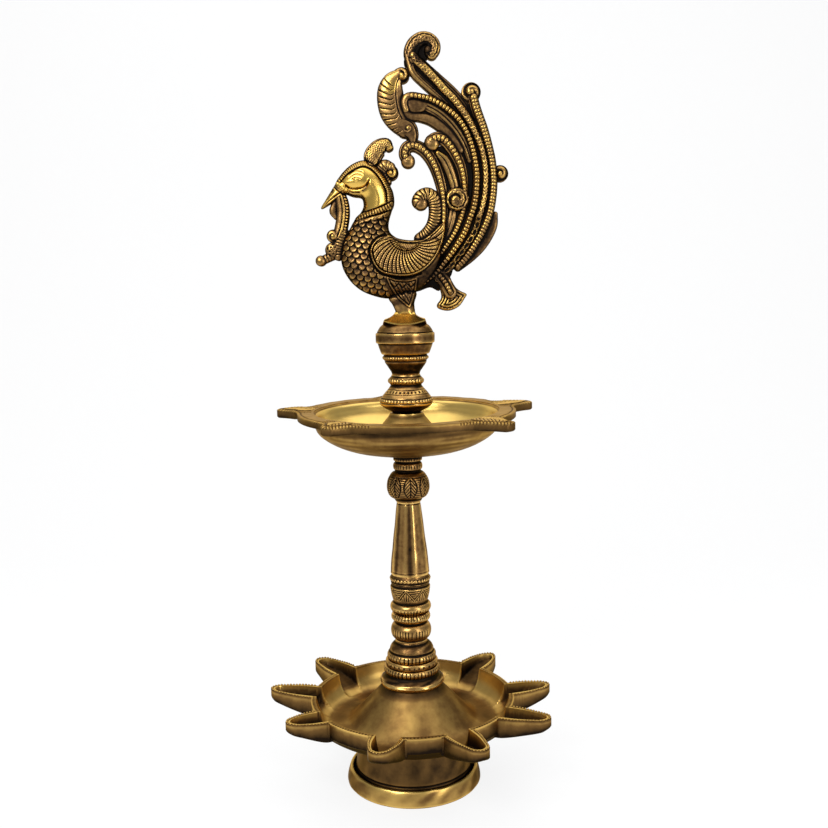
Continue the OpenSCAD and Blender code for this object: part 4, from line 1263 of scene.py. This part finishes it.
def scales(x, z, d):
    """Overlapping feathers in staggered rows, each rising to its rounded lower edge."""
    w, row = 4.6, 3.05
    u, v = turned_to(x, z, math.radians(-12))
    out = np.full(x.shape, -0.5)
    done = np.zeros(x.shape, bool)
    j0 = np.floor(v / row)
    for k in (3, 2, 1, 0):
        j = j0 + k
        off = (j % 2) * w / 2
        uc = np.round((u - off) / w) * w + off
        du, dv = np.abs(u - uc) / (w * 0.5), (j * row - v) / (row * 1.45)
        rr = (du**2.6 + np.clip(dv, 0, None) ** 2.6) ** (1 / 2.6)
        hit = (rr < 1) & (dv > 0) & ~done
        rise = -0.5 + (1.3 * dv + 0.12) * (1 - step01((rr - 0.82) / 0.18))
        out = np.where(hit, rise, out)
        done |= hit
    return out * step01(d)


rel.over(BREAST, scales)

# Wing: double border, feathers fanned from the saddle patch
WING = [(386, 235.4), (376, 240.6), (371, 250), (372.6, 260), (377.6, 268.8), (385, 273.8), (397.5, 276.4),
    (410, 276), (420, 272.6), (429, 266), (437.5, 255), (442.6, 242.5), (445.4, 229), (444.6, 221.5),
    (441, 224), (432, 232.5), (424, 238.6), (412, 240.4), (400, 239), (392, 236)]
FAN = at((408, 240))[0]


def feathers(x, z, d):
    """Feathers with barbs, cut apart, and a line inside the wing's lower edge."""
    dx, dz = x - FAN[0], z - FAN[1]
    q = np.hypot(dx, dz)
    part = math.radians(8.6)
    u = ((np.arctan2(-dz, dx) + 0.03 * q) / part + 0.2) % 1 - 0.5
    side = np.abs(u)
    cut = peak((0.5 - side) * np.maximum(q * part, 0.3), 0.27)
    barb = 0.10 * np.sin((q - 1.5 * u) * TAU / 1.1) * step01((q - 9) / 2) * (side < 0.36)
    low = step01((4.0 - dz) / 4)
    inner = (d > 0.5 + low) & (q > 5.0)
    vane = inner * (0.45 * dome(2 * side) - 0.75 * cut + barb)
    return 0.9 * step01(d / 0.7) + vane - 0.8 * low * peak(d - 1.5, 0.3)


rel.area(WING, 1.2, 1.5, 4.2)
rel.over(WING, feathers)
SADDLE = [(387.6, 238), (390.6, 246), (396.6, 251.6), (405, 254), (414, 252), (421, 246.4), (425, 240.4),
    (412, 241.5), (400, 240.4)]
rel.over(SADDLE, bordered(0.7, 0.5, 25, 1.15, 0.22))
rel.cut([(386.4, 236), (377.6, 241.6), (373, 250), (374.6, 259.6), (379.4, 267.4), (386, 271.8)],
    1.6, 0.8)
rel.cut([(385.5, 234.6), (375.4, 239.8), (369.8, 250), (371.4, 260.4), (376.6, 269.6), (384.4, 275),
    (397.5, 277.8), (410, 277.4), (420.8, 273.8)], 2.0, 1.1)

# Thigh: a pointed leaf with a border, scallops and veins
THIGH = [(386, 275.6), (396, 279), (408, 279.6), (417.4, 277.8), (417, 286), (414.8, 296), (411.4, 306),
    (409.4, 308), (404.6, 304.4), (397, 297.4), (390.6, 287.6)]
rel.over(THIGH, bordered(0.9, 0.8, 28, 1.7, 0.35))
rel.cut([(391, 283.6), (395, 287), (399, 284), (403, 287.4), (407, 284), (411, 287), (414.4, 283.4)],
    1.4, 0.7)
rel.cut([(398, 291), (402, 294), (406, 291), (410, 293.6)], 1.3, 0.6)

# Necklace, mane, face and beak
rel.band([(355.5, 219), (366, 215.6), (380, 211.6), (393.6, 205.4)], 6.2, 1.5, ribs(1.7, 0.8, 0.42))
rel.band([(352.6, 224.6), (364, 221), (378, 218.2), (390.4, 213.4)], 4.4, 1.1)
rel.cut([(354, 222), (366, 218.6), (380, 214.8), (392, 209.6)], 1.4, 0.8)
rel.cut([(356.6, 215.4), (366, 212.2), (380, 208), (392, 201.4)], 1.6, 0.7)
MANE = [(337.6, 181), (344, 173), (353, 166.6), (363, 163.4), (372, 166), (380, 173.4), (386, 182),
    (390, 191), (391, 201)]
rel.band(MANE, 7.4, 0.9, ribs(1.3, 0.6, 0.42))
rel.cut([(341, 183), (347, 176), (355, 170.8), (363, 167.9), (370.6, 170), (377, 176), (382.4, 184),
    (386, 192), (387, 202)], 1.7, 1.1)
rel.cut([(349.5, 175.8), (354, 172.6), (358.6, 172.2), (363, 173.6)], 1.0, 0.6)
rel.cut([(350.5, 178.6), (355, 175.8), (359.6, 175.6), (363, 177.2)], 1.0, 0.6)
rel.cut([(352.6, 180.6), (356.4, 178.8), (360.4, 180.2)], 1.1, 0.55)
rel.knob((356.6, 180.6), 2.0, 0.35)
rel.cut([(346, 186.5), (353, 190), (361, 189.6), (366.6, 186.4), (369.6, 181.4)], 1.7, 1.1)
rel.cut([(363, 191.5), (366.4, 189), (368.4, 185)], 2.6, 0.9)
rel.cut([(347.6, 190.4), (353, 193.4), (360, 193.6)], 1.4, 0.6)
rel.area([(340, 178), (335, 184.6), (330.2, 192.4), (325.6, 200), (321, 207.8), (323, 208.4), (330.4, 204),
    (338, 199), (345.5, 195), (349, 190)], 4.0, 4.6, 1.8)
rel.cut([(341.5, 192.5), (334.5, 197.4), (327.4, 203.2), (321.6, 207.8)], 1.3, 1.0)
rel.cut([(333.4, 190.4), (332, 192.6)], 1.6, 0.6)
rel.band([(337, 184), (339.4, 186.4), (342.8, 189.2), (346.6, 192)], 5.8, 1.2,
    both(edges(0.72, 0.5), pearls(1.75, 0.6, 0.5, 0, 2.5)))
rel.cut([(331.4, 184.4), (335.2, 188.6), (339.8, 192.4), (344.6, 195.4)], 1.2, 0.8)
rel.cut([(338.6, 178.4), (341.8, 182), (345.6, 185.4), (349.6, 188.6)], 1.2, 0.8)

# Crest lobes
rel.stroke([(371.6, 164.6), (372.6, 157), (376.4, 150.6), (381.6, 146), (386.6, 144.2), (389.8, 147.6)],
    [11, 14.6, 14.4, 12.6, 9.4, 6], 2.6, 2.0, both(edges(0.78, 0.4), pits(1.7, 0.5)))
rel.disc((388.6, 148.2), 3.4, 2.2, 1.8)
rel.stroke([(380.6, 171), (385, 166.4), (390, 167.6)], [12, 11, 9], 2.4, 2.0, ribs(1.5, 0.5, 0.5))
rel.disc((390.6, 173), 7.0, 2.6, 2.2, spiral(1.4, 1.1, 0.3, 1, 0.18))
rel.stroke([(379, 173), (384, 178), (388, 182)], [9, 9, 6], 2.2, 2.2, ribs(1.4, 0.5, 0.5))
rel.knob((391, 173), 2.0, 0.7)
rel.cut([(366.6, 161), (369, 165), (374, 166.6), (378.6, 164)], 1.6, 0.9)


# Garland from the beak to the breast
def half_ribs(s, v, w):
    """Ribs on one side of the garland."""
    return ribs(1.6, 0.7, 0.5)(s, v, w) * (v > 0.45 * w)


rel.stroke([(339.6, 193.6), (341.6, 201), (343, 211), (342.4, 221), (340.6, 230), (338, 236.6)],
    [8, 10.4, 10.8, 10.6, 10.4, 9.6], 2.3, 2.2,
    both(line_at(-0.1, 0.7, 0.4), half_ribs, line_at(0.42, 0.5)))
rel.stroke([(336.4, 201), (334, 207), (333.4, 212), (336, 217)], [5, 6, 6.4, 4.4], 1.8, 1.6)
rel.disc((333.2, 236.2), 5.9, 2.8, 2.2, spiral(1.2, 0.7, 0.0, 1, 0.2))
rel.stroke([(343, 232), (340.6, 241), (338.6, 249), (338.6, 256)], [9, 9.6, 11, 8], 2.2, 2.2,
    ribs(1.7, 0.6, 0.45))
rel.disc((333.4, 250.4), 7.4, 2.6, 2.2,
    lambda q, phi: -0.6 * np.clip(np.sin(phi * 5) * np.sin(q * 11), 0, 1))
rel.stroke([(336, 254), (329, 257.4), (323, 260.4)], [8, 7.4, 7], 2.0, 2.0, ribs(1.8, 0.5, 0.4))
rel.disc((321, 261), 4.9, 2.6, 2.0)

# Areas that are brighter or older
rel.stain([(341, 186), (346, 177), (354, 171.6), (363, 169), (371, 172), (378, 179), (384, 190),
    (386.4, 202), (378, 208), (366, 211.5), (361.6, 207), (364, 200), (357, 195.5), (348, 192.5)], -0.8)
rel.stain(BREAST, 0.13)
rel.stain(WING, 0.08)
rel.stain([(497, 212), (495, 226), (482, 250), (460, 269), (456, 265), (476, 244), (488, 222)], 0.25)
rel.stain(THIGH, 0.3)
rel.stain([(364, 164), (366, 152), (376, 142), (388, 140), (394, 150), (386, 158), (396, 170), (396, 182),
    (384, 182), (374, 168)], -0.18)
rel.stain([(393, 312), (397, 305), (413, 305), (417, 312), (417, 319), (392, 319)], -0.35)
rel.stain([(386, 72), (396, 70), (402, 76), (398, 88), (390, 96), (382, 96)], -0.35)
rel.stain([(338, 176.6), (327.8, 190.5), (320.8, 207.6), (330.4, 204), (345.5, 195), (349, 190)], -0.3)
rel.stain([(418, 276), (430, 268), (442, 258), (452, 266), (450, 278), (438, 290), (418, 293)], 0.35)
rel.stain([(389, 297), (392.6, 305), (395.4, 318), (415.6, 318), (414.4, 303), (416.4, 292), (404, 296)],
    0.1)

mask = (rel.f > -1.2 * rel.step).astype(float)


def fill(a, width):
    """Blur that stays within the bird's outline."""
    s = width / rel.step
    weight = np.maximum(blur(blur(mask, s, 0), s, 1), 1e-3)
    return blur(blur(a * mask, s, 0), s, 1) / weight


# Least half thickness of the casting, share of it that is softened, and mean age and age of the side walls
THIN_BIRD, SOFTENED, BIRD_AGE, WALL_AGE = 0.9, 0.35, 0.21, 0.42
half = np.maximum(rel.h, THIN_BIRD)
half = (1 - SOFTENED) * half + SOFTENED * fill(half, 0.3)
half += 0.05 * ripple(rel.x, rel.z, 41, 9.0)
darkness = np.clip((fill(half, 0.5) - half) / 0.26 + (fill(half, 1.5) - half) / 1.1, -1, 1)
darkness = np.where(darkness < 0, 0.55 * darkness, darkness) + BIRD_AGE + rel.tone
darkness = np.where(rel.f < 0.3, np.minimum(darkness, WALL_AGE), darkness)
v, f, c = plate(rel.x, rel.z, rel.f, lambda x, y, used: (half[used], -half[used], darkness[used]), rel.step)
c[len(c) // 2 :] = c[: len(c) // 2]
bird = add_mesh("peacock_cast", np.c_[v[:, 0], -v[:, 2], v[:, 1]], f, c, 50)
dress(bird, "bird_brass", "finial", "peacock")

# Plinth of the bird: a four-sided roof with hollow sides and its corners turned up
levels, around = 30, 200
phi = np.arange(around) / around * TAU
square = 1 / np.maximum(np.abs(np.cos(phi)), np.abs(np.sin(phi)))
corner = np.clip((square - 1) / 0.414, 0, 1)
PLINTH_EDGE, NECK = 13.1 - 0.9 * corner, 5.6
# Half width, height above the joint and darkness of each ring: painted shade under the plinth, and painted
# highlights on its edge and its hollow sides
rings = [
    (3.0, -0.9, 0.6), (PLINTH_EDGE - 1.0, -1.2 + 2.0 * corner, 0.5), (PLINTH_EDGE, -0.9 + 2.3 * corner, -0.2),
    (PLINTH_EDGE, -0.2 + 2.4 * corner, -0.8)]
# The hollow sides get painted highlights.
for t, worn_and_lit in zip(np.linspace(0.03, 1, levels), np.linspace(-0.8, -0.6, levels)):
    hollow = NECK + (PLINTH_EDGE - NECK - 0.3) * (1 - t) ** 1.35
    rings.append((hollow, 0.1 + 6.6 * t + 2.2 * corner * (1 - t) ** 2, worn_and_lit))
rings.append((2.0, 6.8, 0.0))
verts = np.concatenate([
    np.c_[w * square * np.cos(phi), w * square * np.sin(phi), np.broadcast_to(Z_BIRD + z, around)]
    for w, z, _ in rings])
k = np.arange(around)
k1 = (k + 1) % around
faces = []
for a in range(0, (len(rings) - 1) * around, around):
    faces.extend(np.c_[a + k, a + k1, a + around + k1, a + around + k].tolist())
faces += [k[::-1].tolist(), (len(verts) - around + k).tolist()]
plinth = add_mesh("peacock_plinth", verts, faces, np.repeat([worn_and_lit for *_, worn_and_lit in rings], around), 30)
dress(plinth, "bird_brass", "finial", "peacock")

# Stage: a floor that curves up into a backdrop behind the lamp
FLOOR_GLOW = 0.84
FLOOR_FRONT, FLOOR_BACK, BEND, BACKDROP_H, FLOOR_HALF = -520, 500, 500, 1300, 950


def floor_material():
    """White to the camera and in reflections, with the shadow kept."""
    mat, tree = material("floor")
    rays = node(tree, "ShaderNodeLightPath").outputs
    seen = math_node(tree, "MAXIMUM", rays["Is Camera Ray"], rays["Is Glossy Ray"])
    seen = math_node(tree, "MAXIMUM", seen, rays["Is Transmission Ray"])
    matt = node(tree, "ShaderNodeBsdfDiffuse", {"Color": (0.95, 0.95, 0.95, 1)})
    glow = node(tree, "ShaderNodeEmission", {"Color": (1, 1, 1, 1), "Strength": 1.0})
    mix = node(tree, "ShaderNodeMixShader", {
        "Fac": math_node(tree, "MULTIPLY", seen, FLOOR_GLOW), 1: matt.outputs[0], 2: glow.outputs[0]})
    node(tree, "ShaderNodeOutputMaterial", {"Surface": mix.outputs[0]})
    return mat


sweep = [(y, 0.0) for y in np.linspace(FLOOR_FRONT, FLOOR_BACK, 12)]
for t in np.linspace(0, math.pi / 2, 18)[1:]:
    sweep.append((FLOOR_BACK + BEND * math.sin(t), BEND * (1 - math.cos(t))))
sweep += [(FLOOR_BACK + BEND, z) for z in np.linspace(BEND, BACKDROP_H, 6)[1:]]
across = np.linspace(-FLOOR_HALF, FLOOR_HALF, 14)
verts = [(x, y, z - 0.05) for y, z in sweep for x in across]
m = len(across)
faces = [
    [i * m + j, i * m + j + 1, (i + 1) * m + j + 1, (i + 1) * m + j]
    for i in range(len(sweep) - 1) for j in range(m - 1)]
floor = add_mesh("floor", verts, faces, None, 0)
floor.data.materials.append(floor_material())

world = bpy.data.worlds.new("studio")
bpy.context.scene.world = world
world.use_nodes = True
sky = world.node_tree.nodes["Background"]
SKY, SKY_STRENGTH = (0.93, 0.96, 1.0, 1), 0.36
sky.inputs["Color"].default_value = SKY
sky.inputs["Strength"].default_value = SKY_STRENGTH


def softbox(name, place, aim, size, watts):
    """Area light at a place in mm that looks at a point."""
    light = bpy.data.lights.new(name, "AREA")
    light.shape = "RECTANGLE"
    light.size, light.size_y = size[0] * MM, size[1] * MM
    light.energy = watts
    ob = bpy.data.objects.new(name, light)
    bpy.context.scene.collection.objects.link(ob)
    d = np.subtract(aim, place).astype(float)
    d /= np.linalg.norm(d)
    right = np.cross(d, (0, 0, 1))
    right /= np.linalg.norm(right)
    turn = np.eye(4)
    turn[:3] = np.c_[right, np.cross(right, d), -d, np.multiply(place, MM)]
    ob.matrix_world = Matrix(turn.tolist())


softbox("key", (-460, -820, 800), (0, 0, 230), (520, 620), 8.0)
softbox("fill", (640, -640, 420), (0, 0, 220), (240, 760), 3.0)
softbox("top", (40, 120, 1150), (0, 0, 200), (1500, 1300), 9.0)

camera = bpy.data.cameras.new("camera")
camera.sensor_fit = "HORIZONTAL"
camera.sensor_width = 36.0
camera.lens = FOCAL / PICTURE * camera.sensor_width
camera.clip_end = 20.0
camera_ob = bpy.data.objects.new("camera", camera)
bpy.context.scene.collection.objects.link(camera_ob)
camera_ob.matrix_world = (
    Matrix.Translation([c * MM for c in EYE])
    @ Matrix.Rotation(math.pi / 2 - PITCH, 4, "X")
    @ Matrix.Rotation(-ROLL, 4, "Z")
)
bpy.context.scene.camera = camera_ob
bpy.context.scene.view_settings.view_transform = "Standard"
